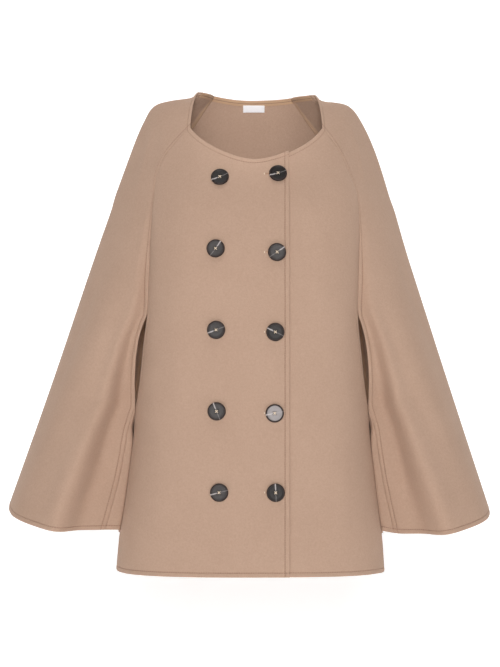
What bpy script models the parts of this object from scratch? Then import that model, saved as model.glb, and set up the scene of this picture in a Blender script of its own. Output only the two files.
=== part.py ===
"""Button-front cape coat, filled out as worn and empty inside. Metres, +Z up, and the front faces -Y."""

import math

import bpy
import mathutils
import numpy as np

for old in list(bpy.data.objects):
    bpy.data.objects.remove(old, do_unlink=True)


def table(columns, rows):
    """Named columns of a short table whose rows run downwards, turned so that the height grows."""
    return dict(zip(columns, np.array(rows, float)[::-1].T))


# Cloth and gaps
WALL = 0.0022
SEAM_TRIM = 0.00024
LAP_GAP = 0.0008
UNDERARM_GAP = 0.0008
UNDERARM_GAP_LENGTH = 0.060
SHALLOWEST_CORNER = 0.6

# Body tube: the power of its rounded section, and one ring a row
ROUNDNESS = 3.0
RINGS = table(
    ("height", "half_width", "front_depth", "back_depth"),
    [
        (0.0050, 0.1490, 0.0280, 0.0625),
        (-0.0635, 0.1600, 0.0550, 0.0850),
        (-0.1180, 0.1680, 0.0860, 0.1000),
        (-0.2000, 0.1740, 0.1200, 0.1120),
        (-0.3000, 0.1760, 0.1340, 0.1160),
        (-0.4000, 0.1790, 0.1370, 0.1180),
        (-0.4600, 0.1830, 0.1380, 0.1200),
        (-0.5000, 0.1855, 0.1390, 0.1220),
        (-0.5400, 0.1875, 0.1400, 0.1250),
        (-0.6000, 0.1940, 0.1420, 0.1300),
        (-0.6700, 0.2027, 0.1440, 0.1360),
        (-0.7100, 0.2090, 0.1450, 0.1390),
        (-0.7700, 0.2137, 0.1470, 0.1430),
    ]
)
HEM_HEIGHT = -0.7595
HEM_DIP_AT_SIDES = 0.0015

# Neckline
NECK_CENTRE_HEIGHT = -0.118
NECK_CORNER_X = 0.104
NECK_CORNER_HEIGHT = -0.0635
NECK_CURVE = 1.7
NECK_CORNER_CURVE = 8
NECK_CORNER_SHARE = 0.13
BACK_NECK_X = 0.065
BACK_NECK_CENTRE_HEIGHT = -0.0072
BACK_NECK_CORNER_HEIGHT = 0.0005

# Front lap: how far each front passes the middle, and where the upper one rises over the lower one
LAP_HALF_WIDTH = 0.0604
LAP_RISE_START = -0.140
LAP_RISE_LENGTH = 0.070

# Armhole edges of the body panels
FRONT_ARMHOLE = table(
    ("height", "x"),
    [
        (-0.0635, 0.1040),
        (-0.0840, 0.1210),
        (-0.1050, 0.1365),
        (-0.1190, 0.1440),
        (-0.1420, 0.1530),
        (-0.1650, 0.1585),
        (-0.2000, 0.1620),
        (-0.2400, 0.1632),
        (-0.3350, 0.1635),
        (-0.3600, 0.1645),
        (-0.4100, 0.1705),
        (-0.4450, 0.1738),
        (-0.4875, 0.1795),
        (-0.5000, 0.1820),
    ]
)
BACK_ARMHOLE = table(
    ("height", "x"),
    [
        (0.0005, 0.0650),
        (-0.0500, 0.0975),
        (-0.1000, 0.1290),
        (-0.1500, 0.1510),
        (-0.2000, 0.1610),
        (-0.3000, 0.1650),
        (-0.4000, 0.1700),
        (-0.5000, 0.1820),
    ]
)
SLIT_TOP = -0.360
ARMHOLE_CORNER = -0.500
ARMHOLE_BOTTOM = -0.530

# Free front edge of the sleeve along the slit, then its seam with the under-sleeve
SLEEVE_EDGE = table(
    ("height", "x", "y"),
    [
        (-0.3600, 0.1645, -0.0795),
        (-0.3750, 0.1702, -0.0795),
        (-0.4000, 0.1768, -0.0780),
        (-0.4370, 0.1814, -0.0735),
        (-0.4700, 0.1828, -0.0655),
        (-0.5000, 0.1828, -0.0531),
        (-0.5150, 0.1870, -0.0520),
        (-0.5400, 0.1940, -0.0505),
        (-0.5800, 0.2005, -0.0475),
        (-0.6150, 0.2070, -0.0450),
        (-0.6500, 0.2155, -0.0425),
        (-0.6980, 0.2280, -0.0400),
    ]
)
SLEEVE_HEM = -0.698
UNDER_SLEEVE_HEM = -0.7056
UNDER_SLEEVE_BACK_Y = 0.0430
UNDER_SLEEVE_SQUARED = (0.515, 0.605)
MORE_ROUNDNESS_BELOW = 14

# One sleeve section a row, at its height on the front seam. The outer line is the overarm seam. Over is how
# far the section climbs before it goes out, lean how far it goes back before it turns, and belly is its forward
# and backward swell.
SLEEVE_SECTIONS = table(
    ("height", "outer_x", "outer_y", "outer_z", "back_seam_height", "over", "lean", "belly"),
    [
        (-0.0635, 0.0920, 0.010, 0.0000, 0.0005, 1.00, 0.60, 0.000),
        (-0.0720, 0.1025, 0.010, -0.0095, -0.0145, 1.00, 0.60, 0.000),
        (-0.0890, 0.1266, 0.010, -0.0135, -0.0360, 1.00, 0.60, 0.000),
        (-0.1100, 0.1518, 0.009, -0.0205, -0.0620, 0.95, 0.55, 0.000),
        (-0.1300, 0.1636, 0.008, -0.0300, -0.0850, 0.85, 0.50, 0.000),
        (-0.1560, 0.1728, 0.007, -0.0450, -0.1150, 0.70, 0.40, 0.001),
        (-0.2050, 0.1875, 0.005, -0.0760, -0.1700, 0.45, 0.25, 0.004),
        (-0.3700, 0.2565, 0.000, -0.2835, -0.3600, 0.10, 0.10, 0.012),
        (-0.5350, 0.3196, 0.000, -0.4750, -0.5350, 0.00, 0.00, 0.020),
        (-0.6980, 0.3835, 0.000, -0.6600, -0.6980, 0.00, 0.00, 0.024),
    ]
)

# Long folds down the sleeves. Columns: start_height, place across the panel there, place_at_hem, half-width
# there, width_at_hem, rise_at_hem. They fade out towards both edges of the panel. The first one of a panel is
# narrow, so the cloth steps back from it to the seam beside the body
FOLD_FADE_INNER = 0.06
FOLD_FADE_OUTER = 0.15
RIGHT_SLEEVE_FRONT_FOLDS = [
    (-0.25, 0.13, 0.300, 0.070, 0.120, 0.0340),
    (-0.26, 0.45, 0.500, 0.180, 0.250, 0.0220),
]
LEFT_SLEEVE_FRONT_FOLDS = [
    (-0.25, 0.13, 0.320, 0.070, 0.125, 0.0330),
    (-0.26, 0.45, 0.540, 0.180, 0.240, 0.0230),
]
RIGHT_SLEEVE_BACK_FOLDS = [
    (-0.30, 0.20, 0.340, 0.090, 0.150, 0.0180),
    (-0.26, 0.50, 0.580, 0.180, 0.230, 0.0150),
]
LEFT_SLEEVE_BACK_FOLDS = [
    (-0.34, 0.22, 0.400, 0.090, 0.160, 0.0200),
    (-0.24, 0.50, 0.640, 0.180, 0.200, 0.0120),
]

# Sideways lean of the whole coat. The neck's back leans less, and the left sleeve hangs lower
LEAN = table(
    ("height", "body_shift", "outer_shift"),
    [
        (0.000, 0.0104, 0.0005),
        (-0.050, 0.0100, 0.0042),
        (-0.100, 0.0098, 0.0052),
        (-0.200, 0.0085, 0.0028),
        (-0.340, 0.0045, 0.0015),
        (-0.400, 0.0030, 0.0010),
        (-0.770, 0.0030, -0.0024),
    ]
)
# The body's shift gives way to the outer one between these distances from the centre, above and below
SHIFT_CHANGE_ABOVE = (0.10, 0.15)
SHIFT_CHANGE_BELOW = (0.17, 0.26)
SHIFT_CHANGE_HEIGHTS = (0.12, 0.20)
BACK_LEAN_CUT = 0.0060
LEFT_SLEEVE_DROP = 0.0060
LEFT_NECK_DROP = 0.0045

# Grid rows, as heights on the front armhole edge
SLEEVE_ROWS = np.array(
    [-0.0635, -0.072, -0.081, -0.092, -0.105, -0.120, -0.138, -0.160, -0.185, -0.212, -0.240, -0.270]
    + [-0.300, -0.330, -0.360, -0.380, -0.400, -0.425, -0.450, -0.475, -0.500, -0.515, -0.535, -0.560]
    + [-0.585, -0.612, -0.640, -0.668, -0.698]
)
LOWER_BODY_ROWS = np.array([-0.512, -0.522, -0.528, -0.530, -0.560, -0.595, -0.635, -0.675, -0.715])
SETTLED_DEPTH = 0.640
EDGE_PULL = 5
LAP_SEGMENTS = 6
FRONT_SEGMENTS = 8
BACK_SEGMENTS = 18
SLEEVE_SEGMENTS = 12
SLEEVE_SPACING = 1.35
UNDER_SLEEVE_SEGMENTS = 10

# Neck facing and label
FACING_WIDTH = 0.0095
FACING_THICKNESS = 0.0009
FACING_GAP = 0.0005
LABEL_WIDTH = 0.035
LABEL_CENTRE_X = 0.002
LABEL_TOP = -0.0140
LABEL_BOTTOM = -0.0254
LABEL_THICKNESS = 0.0006
LABEL_TOP_GAP = 0.0020
LABEL_BOTTOM_GAP = 0.0008
LABEL_SEGMENTS = 4

# Buttons: profile from the middle of the back to the middle of the face, as radius and height
BUTTON_GAP = 0.0006
BUTTON_SIDES = 20
BUTTON_PROFILE = [(0.0112, 0.0), (0.0140, 0.0016), (0.0138, 0.0034), (0.0122, 0.0042), (0.0095, 0.0030)]
BUTTON_HOLE_RADIUS = 0.0010
BUTTON_HOLE_PLACE = 0.0021
BUTTON_HOLE_SIDES = 6
BUTTON_DRILL_ENDS = (-0.004, 0.012)
BUTTON_PLACES = [
    ("button_outer_1", -0.0462, -0.1484),
    ("button_outer_2", -0.0521, -0.2586),
    ("button_outer_3", -0.0513, -0.3826),
    ("button_outer_4", -0.0505, -0.5067),
    ("button_outer_5", -0.0467, -0.6302),
    ("button_edge_1", 0.0432, -0.1426),
    ("button_edge_2", 0.0412, -0.2642),
    ("button_edge_3", 0.0385, -0.3858),
    ("button_edge_4", 0.0375, -0.5096),
    ("button_edge_5", 0.0390, -0.6304),
]

# Colours of the cloth, the facing, the label and the horn
WOOL = (0.46, 0.33, 0.25)
TAPE = (0.36, 0.25, 0.18)
LABEL_CLOTH = (0.86, 0.84, 0.84)
HORN = (0.035, 0.028, 0.026)

FRONT, BACK = -1, 1
DIFFERENCE_STEP = 5e-4


def curve(rows, column, at):
    """Smooth curve through one column of a table over its height column, without overshoot."""
    keys, values = rows["height"], rows[column]
    step = np.diff(keys)
    slope = np.diff(values) / step
    product = slope[:-1] * slope[1:]
    total = np.where(product > 0, slope[:-1] + slope[1:], 1.0)
    tangent = np.concatenate([slope[:1], np.where(product > 0, 2 * product / total, 0.0), slope[-1:]])
    at = np.clip(at, keys[0], keys[-1])
    i = np.clip(np.searchsorted(keys, at, side="right") - 1, 0, len(step) - 1)
    u = (at - keys[i]) / step[i]
    start = values[i] * (1 + 2 * u) * (1 - u) ** 2 + tangent[i] * step[i] * u * (1 - u) ** 2
    end = values[i + 1] * u**2 * (3 - 2 * u) + tangent[i + 1] * step[i] * u**2 * (u - 1)
    return start + end


def ramp(value, start, end):
    """0 before start, 1 after end, and a smooth step between."""
    u = np.clip((value - start) / (end - start), 0, 1)
    return u * u * (3 - 2 * u)


def unit(vectors):
    return vectors / np.linalg.norm(vectors, axis=-1, keepdims=True)


def half_width(z):
    return curve(RINGS, "half_width", z)


def depth(z, side):
    return curve(RINGS, "front_depth" if side == FRONT else "back_depth", z)


def fullness(share):
    """The other half-axis's share on a ring, where this one's share is given."""
    return np.clip(1 - np.abs(share) ** ROUNDNESS, 0, 1) ** (1 / ROUNDNESS)


def ring_point(x, z, side):
    y = side * depth(z, side) * fullness(x / half_width(z))
    return np.stack([x, y, z], axis=-1)


def ring_normal(points, side):
    """Outward normal of the body tube, from the slope of its ring formula."""
    x, y, z = np.moveaxis(points, -1, 0)
    a, b = half_width(z), depth(z, side)
    step = DIFFERENCE_STEP
    a_slope = (half_width(z + step) - half_width(z - step)) / (2 * step)
    b_slope = (depth(z + step, side) - depth(z - step, side)) / (2 * step)
    across = np.sign(x) * np.abs(x / a) ** (ROUNDNESS - 1) / a
    along = np.sign(y) * np.abs(y / b) ** (ROUNDNESS - 1) / b
    up = -(np.abs(x / a) ** ROUNDNESS * a_slope / a + np.abs(y / b) ** ROUNDNESS * b_slope / b)
    return unit(np.stack([across, along, up], axis=-1))


def armhole_x(z, side):
    """Edge of a body panel: the armhole, its rounded bottom, and the side seam below."""
    armhole = FRONT_ARMHOLE if side == FRONT else BACK_ARMHOLE
    corner = ring_point(curve(armhole, "x", ARMHOLE_CORNER), np.asarray(ARMHOLE_CORNER), side)
    fallen = np.clip((ARMHOLE_CORNER - z) / (ARMHOLE_CORNER - ARMHOLE_BOTTOM), 0, 1)
    y_left = np.abs(corner[1]) * (1 - fallen**2) ** (1 / ROUNDNESS)
    below = half_width(z) * fullness(y_left / depth(z, side))
    return np.where(z >= ARMHOLE_CORNER, curve(armhole, "x", z), below)


def front_neck_height(x):
    """A flat curve, mixed with a steep one that rounds its corners."""
    out = np.abs(x) / NECK_CORNER_X
    share = (1 - NECK_CORNER_SHARE) * out**NECK_CURVE + NECK_CORNER_SHARE * out**NECK_CORNER_CURVE
    return NECK_CENTRE_HEIGHT + (NECK_CORNER_HEIGHT - NECK_CENTRE_HEIGHT) * share


def back_neck_height(x):
    rise = BACK_NECK_CORNER_HEIGHT - BACK_NECK_CENTRE_HEIGHT
    return BACK_NECK_CENTRE_HEIGHT + rise * (x / BACK_NECK_X) ** 2


def hem_height(x):
    side_x = half_width(HEM_HEIGHT - HEM_DIP_AT_SIDES)
    return HEM_HEIGHT - HEM_DIP_AT_SIDES * (np.abs(x) / side_x) ** 3


def angle_at(x, a):
    """Even spacing around a ring runs with this angle."""
    return np.arcsin(np.clip(np.abs(x) / a, 0, 1) ** (ROUNDNESS / 2))


def x_at(angle, a):
    return a * np.sin(angle) ** (2 / ROUNDNESS)


def edge_x(z):
    """Sleeve's front edge: on the armhole, then free along the slit, then the under-sleeve seam."""
    return np.where(z >= SLIT_TOP, armhole_x(np.maximum(z, SLIT_TOP), FRONT), curve(SLEEVE_EDGE, "x", z))


def edge_y(z):
    on_ring = ring_point(armhole_x(np.maximum(z, SLIT_TOP), FRONT), np.maximum(z, SLIT_TOP), FRONT)[..., 1]
    meets = ring_point(armhole_x(np.asarray(SLIT_TOP), FRONT), np.asarray(SLIT_TOP), FRONT)[..., 1]
    missed = meets - curve(SLEEVE_EDGE, "y", SLIT_TOP)
    free = curve(SLEEVE_EDGE, "y", z) + missed * (1 - ramp(-z, -SLIT_TOP, -ARMHOLE_CORNER))
    return np.where(z >= SLIT_TOP, on_ring, free)


def back_edge(row):
    """Sleeve's back edge: on the back armhole, then the under-sleeve seam."""
    z = curve(SLEEVE_SECTIONS, "back_seam_height", row)
    attached = np.maximum(z, ARMHOLE_CORNER)
    on_ring = ring_point(armhole_x(attached, BACK), attached, BACK)
    corner = ring_point(armhole_x(np.asarray(ARMHOLE_CORNER), BACK), np.asarray(ARMHOLE_CORNER), BACK)
    opened = ramp(-z, -ARMHOLE_CORNER - UNDERARM_GAP_LENGTH, -ARMHOLE_CORNER)
    x = np.where(z >= ARMHOLE_CORNER, on_ring[..., 0] + UNDERARM_GAP * opened, curve(SLEEVE_EDGE, "x", z))
    share = ramp(-z, -ARMHOLE_CORNER, -SLEEVE_HEM)
    y_below = corner[1] + (UNDER_SLEEVE_BACK_Y - corner[1]) * share
    y = np.where(z >= ARMHOLE_CORNER, on_ring[..., 1], y_below)
    return np.stack([x, y, z], axis=-1)


def sleeve_base(u, row, side):
    """Section from the body-side edge (u = 0) to the outer line (u = 1), for a front or back half."""
    if side == FRONT:
        inner = np.stack([edge_x(row), edge_y(row), row], axis=-1)
    else:
        inner = back_edge(row)
    outer_columns = "outer_x", "outer_y", "outer_z"
    outer = np.stack([curve(SLEEVE_SECTIONS, name, row) for name in outer_columns], axis=-1)
    over, lean, belly = (curve(SLEEVE_SECTIONS, name, row) for name in ("over", "lean", "belly"))
    rising, falling = np.sin(u * math.pi / 2), 1 - np.cos(u * math.pi / 2)
    share = np.stack(
        [
            (1 - over) * rising + over * falling,
            lean * rising + (1 - lean) * falling,
            over * rising + (1 - over) * falling,
        ],
        axis=-1,
    )
    points = inner + (outer - inner) * share
    points[..., 1] += side * belly * np.sin(u * math.pi)
    return points


def normal_of(surface, u, row, low, high):
    """Unit normal of a surface over (u, row), from small differences kept inside its limits."""
    step = DIFFERENCE_STEP
    u_a, u_b = np.clip(u - step, low[0], high[0]), np.clip(u + step, low[0], high[0])
    row_a, row_b = np.clip(row - step, low[1], high[1]), np.clip(row + step, low[1], high[1])
    across = surface(u_b, row) - surface(u_a, row)
    along = surface(u, row_b) - surface(u, row_a)
    return unit(np.cross(across, along))


def sleeve_normal(u, row, side, folds):
    limits = (0, SLEEVE_HEM), (1, NECK_CORNER_HEIGHT)
    return -side * normal_of(lambda a, b: sleeve_point(a, b, side, folds), u, row, *limits)


def sleeve_point(u, row, side, folds):
    """Section with its long folds, which grow towards the hem and fade out at both edges."""
    points = sleeve_base(u, row, side)
    if not folds:
        return points
    rise = np.zeros(np.broadcast(u, row).shape)
    for start, place, place_at_hem, width, width_at_hem, rise_at_hem in folds:
        grown = ramp(-row, -start, -SLEEVE_HEM)
        centre = place + (place_at_hem - place) * grown
        reach = width + (width_at_hem - width) * grown
        rise += rise_at_hem * grown * np.exp(-(((u - centre) / reach) ** 2))
    rise *= ramp(u, 0, FOLD_FADE_INNER) * ramp(1 - u, 0, FOLD_FADE_OUTER)
    return points + sleeve_normal(u, row, side, []) * rise[..., None]


def beside_body(y, z):
    """Place across of a point just clear of the body's side."""
    deep = np.where(y < 0, depth(z, FRONT), depth(z, BACK))
    return half_width(z) * fullness(y / deep) + UNDERARM_GAP


def under_sleeve_section(w, row, z):
    """Curve close beside the body, from the front seam (w = -1) to the back seam (w = 1). Below the armhole it
    leaves both seams nearly square to the body's side."""
    front_y, back_y = edge_y(row), back_edge(row)[..., 1]
    y = front_y + (back_y - front_y) * (w + 1) / 2
    seam_y = np.where(w < 0, front_y, back_y)
    bow = np.abs(w) ** (ROUNDNESS + MORE_ROUNDNESS_BELOW * ramp(-row, *UNDER_SLEEVE_SQUARED))
    x = beside_body(y, z) + (curve(SLEEVE_EDGE, "x", row) - beside_body(seam_y, row)) * bow
    return np.stack([x, y, z], axis=-1)


def under_sleeve_point(w, row):
    """Section lowered at the top to the rounded armhole bottom."""
    fallen = (row - ARMHOLE_CORNER) / (SLEEVE_HEM - ARMHOLE_CORNER)
    top = ARMHOLE_CORNER + (ARMHOLE_BOTTOM - ARMHOLE_CORNER) * np.sqrt(1 - np.abs(w) ** ROUNDNESS)
    bottom = SLEEVE_HEM + (UNDER_SLEEVE_HEM - SLEEVE_HEM) * (1 - w**2)
    return under_sleeve_section(w, row, top + (bottom - top) * fallen)


def under_sleeve_normal(w, row):
    limits = (-1, SLEEVE_HEM), (1, ARMHOLE_CORNER)
    return -normal_of(lambda a, b: under_sleeve_section(a, b, b), w, row, *limits)


def leaned(points):
    """The whole coat's sideways lean and the lower left sleeve, the same for every piece."""
    x, y, z = np.moveaxis(points, -1, 0)
    below = ramp(-z, *SHIFT_CHANGE_HEIGHTS)
    start, end = (
        above + (under - above) * below for above, under in zip(SHIFT_CHANGE_ABOVE, SHIFT_CHANGE_BELOW)
    )
    away = ramp(np.abs(x), start, end)
    body_shift = curve(LEAN, "body_shift", z) - BACK_LEAN_CUT * ramp(y, 0, 0.06) * ramp(z, -0.15, -0.05)
    moved = points.copy()
    moved[..., 0] += body_shift * (1 - away) + curve(LEAN, "outer_shift", z) * away
    moved[..., 2] -= LEFT_SLEEVE_DROP * ramp(x, 0.19, 0.24) * ramp(-z, 0.45, 0.70)
    neck_side = ramp(x, 0.01, 0.09) * ramp(-x, -0.16, -0.11)
    moved[..., 2] -= LEFT_NECK_DROP * neck_side * ramp(z, -0.07, -0.02)
    return moved


def shared_wall(normal, neighbour):
    """Wall vector on a seam: along the two normals' bisector, and long enough to keep the wall."""
    middle = unit(normal + neighbour)
    along = np.clip((middle * normal).sum(axis=-1, keepdims=True), SHALLOWEST_CORNER, 1)
    return -middle * WALL / along


def trim_edge(outer, inner, edge, beside):
    """Draws one edge column back from its seam line, square to the seam."""
    tangent = unit(np.gradient(outer[:, edge], axis=0))
    inward = outer[:, beside] - outer[:, edge]
    inward -= tangent * (inward * tangent).sum(axis=-1, keepdims=True)
    move = unit(inward) * SEAM_TRIM
    outer[:, edge] += move
    inner[:, edge] += move


def material(name, colour, roughness, sheen=0.0):
    made = bpy.data.materials.new(name)
    made.use_nodes = True
    shader = made.node_tree.nodes["Principled BSDF"]
    shader.inputs["Base Color"].default_value = (*colour, 1)
    shader.inputs["Roughness"].default_value = roughness
    shader.inputs["Metallic"].default_value = 0
    shader.inputs["Sheen Weight"].default_value = sheen
    return made


def add_mesh(name, points, faces, own_material, smooth):
    mesh = bpy.data.meshes.new(name)
    mesh.from_pydata(points.tolist(), [], faces)
    for polygon, is_smooth in zip(mesh.polygons, smooth):
        polygon.use_smooth = is_smooth
    mesh.materials.append(own_material)
    made = bpy.data.objects.new(name, mesh)
    bpy.context.scene.collection.objects.link(made)
    return made


def volume_of(points, faces):
    total = 0.0
    for face in faces:
        a = points[face[0]]
        for b, c in zip(face[1:-1], face[2:]):
            total += float(np.dot(a, np.cross(points[b], points[c])))
    return total / 6


def add_sheet(name, outer, inner, own_material):
    """Closed sheet between two grids of points, one on each side of the cloth."""
    rows, columns = outer.shape[:2]
    points = leaned(np.concatenate([outer.reshape(-1, 3), inner.reshape(-1, 3)]))
    index = np.arange(rows * columns).reshape(rows, columns)
    a, b, c, d = index[:-1, :-1], index[:-1, 1:], index[1:, 1:], index[1:, :-1]
    cells = np.stack([a, b, c, d], axis=-1).reshape(-1, 4)
    rim = np.concatenate([index[0, :-1], index[:-1, -1], index[-1, :0:-1], index[:0:-1, 0]])
    following = np.roll(rim, -1)
    lower = rows * columns
    faces = cells.tolist() + (cells[:, ::-1] + lower).tolist()
    faces += np.stack([following, rim, rim + lower, following + lower], axis=-1).tolist()
    if volume_of(points, faces) < 0:
        faces = [face[::-1] for face in faces]
    smooth = [True] * (2 * len(cells)) + [False] * len(rim)
    return add_mesh(name, points, faces, own_material, smooth)


def body_rows(side):
    """Heights on the panel's edge, row by row."""
    upper = SLEEVE_ROWS[SLEEVE_ROWS >= ARMHOLE_CORNER]
    if side == BACK:
        upper = curve(SLEEVE_SECTIONS, "back_seam_height", upper)
    return np.concatenate([upper, LOWER_BODY_ROWS, [HEM_HEIGHT - HEM_DIP_AT_SIDES]])


def panel_angles(rows, side, start, shares):
    """Angles around the ring, from start to the panel's edge. The armhole bottom moves only outer columns."""
    end = angle_at(armhole_x(rows, side), half_width(rows))
    slit_end = angle_at(armhole_x(np.asarray(SLIT_TOP), side), half_width(SLIT_TOP))
    even_end = slit_end + (math.pi / 2 - slit_end) * ramp(-rows, -SLIT_TOP, SETTLED_DEPTH)
    even_end = np.where(rows >= SLIT_TOP, end, even_end)
    return start + (even_end - start) * shares + (end - even_end) * shares**EDGE_PULL


def body_grid(side, mirror=1):
    """Panel in its own mirrored half. Its last column ends on the armhole, and its rows go down to the hem."""
    rows = body_rows(side)[:, None]
    share = (rows - rows[0]) / (rows[-1] - rows[0])
    if side == FRONT:
        even = np.linspace(-LAP_HALF_WIDTH, LAP_HALF_WIDTH, LAP_SEGMENTS + 1)
        lap = even - mirror * curve(LEAN, "body_shift", rows)
        start = angle_at(lap[:, -1:], half_width(rows))
        angles = panel_angles(rows, side, start, np.linspace(0, 1, FRONT_SEGMENTS + 1)[1:])
        first_x = np.concatenate([lap[0], x_at(angles[0], half_width(rows[0]))])
        last_x = np.concatenate([lap[-1], x_at(angles[-1], half_width(rows[-1]))])
        top = front_neck_height(first_x)
    else:
        across = np.linspace(-1, 1, BACK_SEGMENTS + 1)
        signs, angles = np.sign(across), panel_angles(rows, side, 0.0, np.abs(across))
        first_x, last_x = x_at(angles[0], half_width(rows[0])), x_at(angles[-1], half_width(rows[-1]))
        top = back_neck_height(first_x)
    z = top + share * (hem_height(last_x) - top)
    if side == FRONT:
        lap = even - mirror * curve(LEAN, "body_shift", z[:, : len(even)])
        angles = np.concatenate([angle_at(lap, half_width(z[:, : len(even)])), angles], axis=1)
        signs = np.concatenate([np.sign(lap), np.ones((len(rows), FRONT_SEGMENTS))], axis=1)
    x = signs * x_at(angles, half_width(z))
    y = side * depth(z, side) * np.clip(np.cos(angles), 0, 1) ** (2 / ROUNDNESS)
    return np.stack([x, y, z], axis=-1)


def seam_walls(points, normals, side, column, rows):
    """Replaces the wall vectors of an armhole edge by those shared with the sleeve."""
    walls = -normals * WALL
    attached = rows >= (SLIT_TOP if side == FRONT else ARMHOLE_CORNER)
    sleeve_rows = SLEEVE_ROWS[: attached.sum()]
    neighbour = sleeve_normal(np.zeros(len(sleeve_rows)), sleeve_rows, side, [])
    neighbour[:, 0] *= np.sign(points[0, column, 0])
    walls[attached, column] = shared_wall(normals[attached, column], neighbour)
    return walls


def front_panel(mirror, raised):
    """One front: mirror is -1 for the wearer's right, whose lap lies on top."""
    points = body_grid(FRONT, mirror)
    normals = ring_normal(points, FRONT)
    walls = seam_walls(points, normals, FRONT, -1, body_rows(FRONT))
    if raised:
        lift = (WALL + LAP_GAP) * ramp(-points[..., 0], LAP_RISE_START, LAP_RISE_START + LAP_RISE_LENGTH)
        points = points + normals * lift[..., None]
    outer, inner = points.copy(), points + walls
    trim_edge(outer, inner, -1, -2)
    flip = np.array([mirror, 1, 1])
    return outer * flip, inner * flip


def back_panel():
    points = body_grid(BACK)
    normals = ring_normal(points, BACK)
    rows = body_rows(BACK)
    walls = seam_walls(points, normals, BACK, -1, rows)
    walls[:, 0] = walls[:, -1] * np.array([-1, 1, 1])
    outer, inner = points.copy(), points + walls
    trim_edge(outer, inner, -1, -2)
    trim_edge(outer, inner, 0, 1)
    return outer, inner


def sleeve_panel(side, mirror, folds):
    """One half of a sleeve, from its body-side edge to the overarm seam."""
    u = np.linspace(0, 1, SLEEVE_SEGMENTS + 1)[None, :] ** SLEEVE_SPACING
    u, rows = np.broadcast_arrays(u, SLEEVE_ROWS[:, None])
    points = sleeve_point(u, rows, side, folds)
    normals = sleeve_normal(u, rows, side, folds)
    walls = -normals * WALL
    opposite = normals[:, -1] * np.array([1, -1, 1])
    walls[:, -1] = shared_wall(normals[:, -1], opposite)
    seam = sleeve_normal(np.zeros(len(SLEEVE_ROWS)), SLEEVE_ROWS, side, [])
    attached = SLEEVE_ROWS >= (SLIT_TOP if side == FRONT else ARMHOLE_CORNER)
    body_z = SLEEVE_ROWS if side == FRONT else curve(SLEEVE_SECTIONS, "back_seam_height", SLEEVE_ROWS)
    body_z = body_z[attached]
    neighbour = ring_normal(ring_point(armhole_x(body_z, side), body_z, side), side)
    walls[attached, 0] = shared_wall(seam[attached], neighbour)
    below = SLEEVE_ROWS <= ARMHOLE_CORNER
    w = np.full(below.sum(), float(side))
    walls[below, 0] = shared_wall(seam[below], under_sleeve_normal(w, SLEEVE_ROWS[below]))
    outer, inner = points.copy(), points + walls
    trim_edge(outer, inner, 0, 1)
    trim_edge(outer, inner, -1, -2)
    flip = np.array([mirror, 1, 1])
    return outer * flip, inner * flip


def under_sleeve_panel(mirror):
    rows = SLEEVE_ROWS[SLEEVE_ROWS <= ARMHOLE_CORNER]
    turn = np.linspace(-math.pi / 2, math.pi / 2, UNDER_SLEEVE_SEGMENTS + 1)[None, :]
    w = np.sign(turn) * np.abs(np.sin(turn)) ** (2 / ROUNDNESS)
    w, rows = np.broadcast_arrays(w, rows[:, None])
    points = under_sleeve_point(w, rows)
    normals = under_sleeve_normal(w, rows)
    walls = -normals * WALL
    for column, side in ((0, FRONT), (-1, BACK)):
        neighbour = sleeve_normal(np.zeros(len(rows)), rows[:, 0], side, [])
        walls[:, column] = shared_wall(normals[:, column], neighbour)
    outer, inner = points.copy(), points + walls
    trim_edge(outer, inner, 0, 1)
    trim_edge(outer, inner, -1, -2)
    flip = np.array([mirror, 1, 1])
    return outer * flip, inner * flip


def facing_columns(outer, inner, columns):
    """Top and bottom of the facing on some columns of a panel's inner face, near and far side."""
    found = []
    for column in columns:
        top, below = inner[0, column], inner[1, column]
        inward = unit(inner[0, column] - outer[0, column])
        bottom = top + unit(below - top) * FACING_WIDTH
        near = inward * FACING_GAP
        far = near + inward * FACING_THICKNESS
        found.append((top + near, bottom + near, top + far, bottom + far))
    return found


# Cloth panels
panels = {
    "right_front": front_panel(-1, True),
    "left_front": front_panel(1, False),
    "back": back_panel(),
    "right_sleeve_front": sleeve_panel(FRONT, -1, RIGHT_SLEEVE_FRONT_FOLDS),
    "right_sleeve_back": sleeve_panel(BACK, -1, RIGHT_SLEEVE_BACK_FOLDS),
    "left_sleeve_front": sleeve_panel(FRONT, 1, LEFT_SLEEVE_FRONT_FOLDS),
    "left_sleeve_back": sleeve_panel(BACK, 1, LEFT_SLEEVE_BACK_FOLDS),
    "right_under_sleeve": under_sleeve_panel(-1),
    "left_under_sleeve": under_sleeve_panel(1),
}
for panel_name, (panel_outer, panel_inner) in panels.items():
    add_sheet(panel_name, panel_outer, panel_inner, material(f"{panel_name} wool", WOOL, 0.9, 0.3))

# Facing of the back neck, from one neck point over the back to the other
sleeve_columns = range(SLEEVE_SEGMENTS - 1, -1, -1)
facing = facing_columns(*panels["right_sleeve_back"], sleeve_columns)[:-1]
facing += facing_columns(*panels["back"], range(BACK_SEGMENTS + 1))
facing += facing_columns(*panels["left_sleeve_back"], sleeve_columns)[:-1][::-1]
facing = np.array(facing)
add_sheet("neck_facing", facing[:, :2], facing[:, 2:], material("facing tape", TAPE, 0.85, 0.1))

# Label, on the inner face of the back
label_x = LABEL_CENTRE_X + LABEL_WIDTH * np.linspace(-0.5, 0.5, LABEL_SEGMENTS + 1)
label_x, label_z = np.broadcast_arrays(label_x, np.linspace(LABEL_TOP, LABEL_BOTTOM, 3)[:, None])
label_base = ring_point(label_x, label_z, BACK)
label_inward = -ring_normal(label_base, BACK)
label_gap = np.linspace(LABEL_TOP_GAP, LABEL_BOTTOM_GAP, 3)[:, None, None]
label_near = label_base + label_inward * (WALL + label_gap)
label_far = label_near + label_inward * LABEL_THICKNESS
add_sheet("label", label_near, label_far, material("woven label", LABEL_CLOTH, 0.7))


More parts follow.
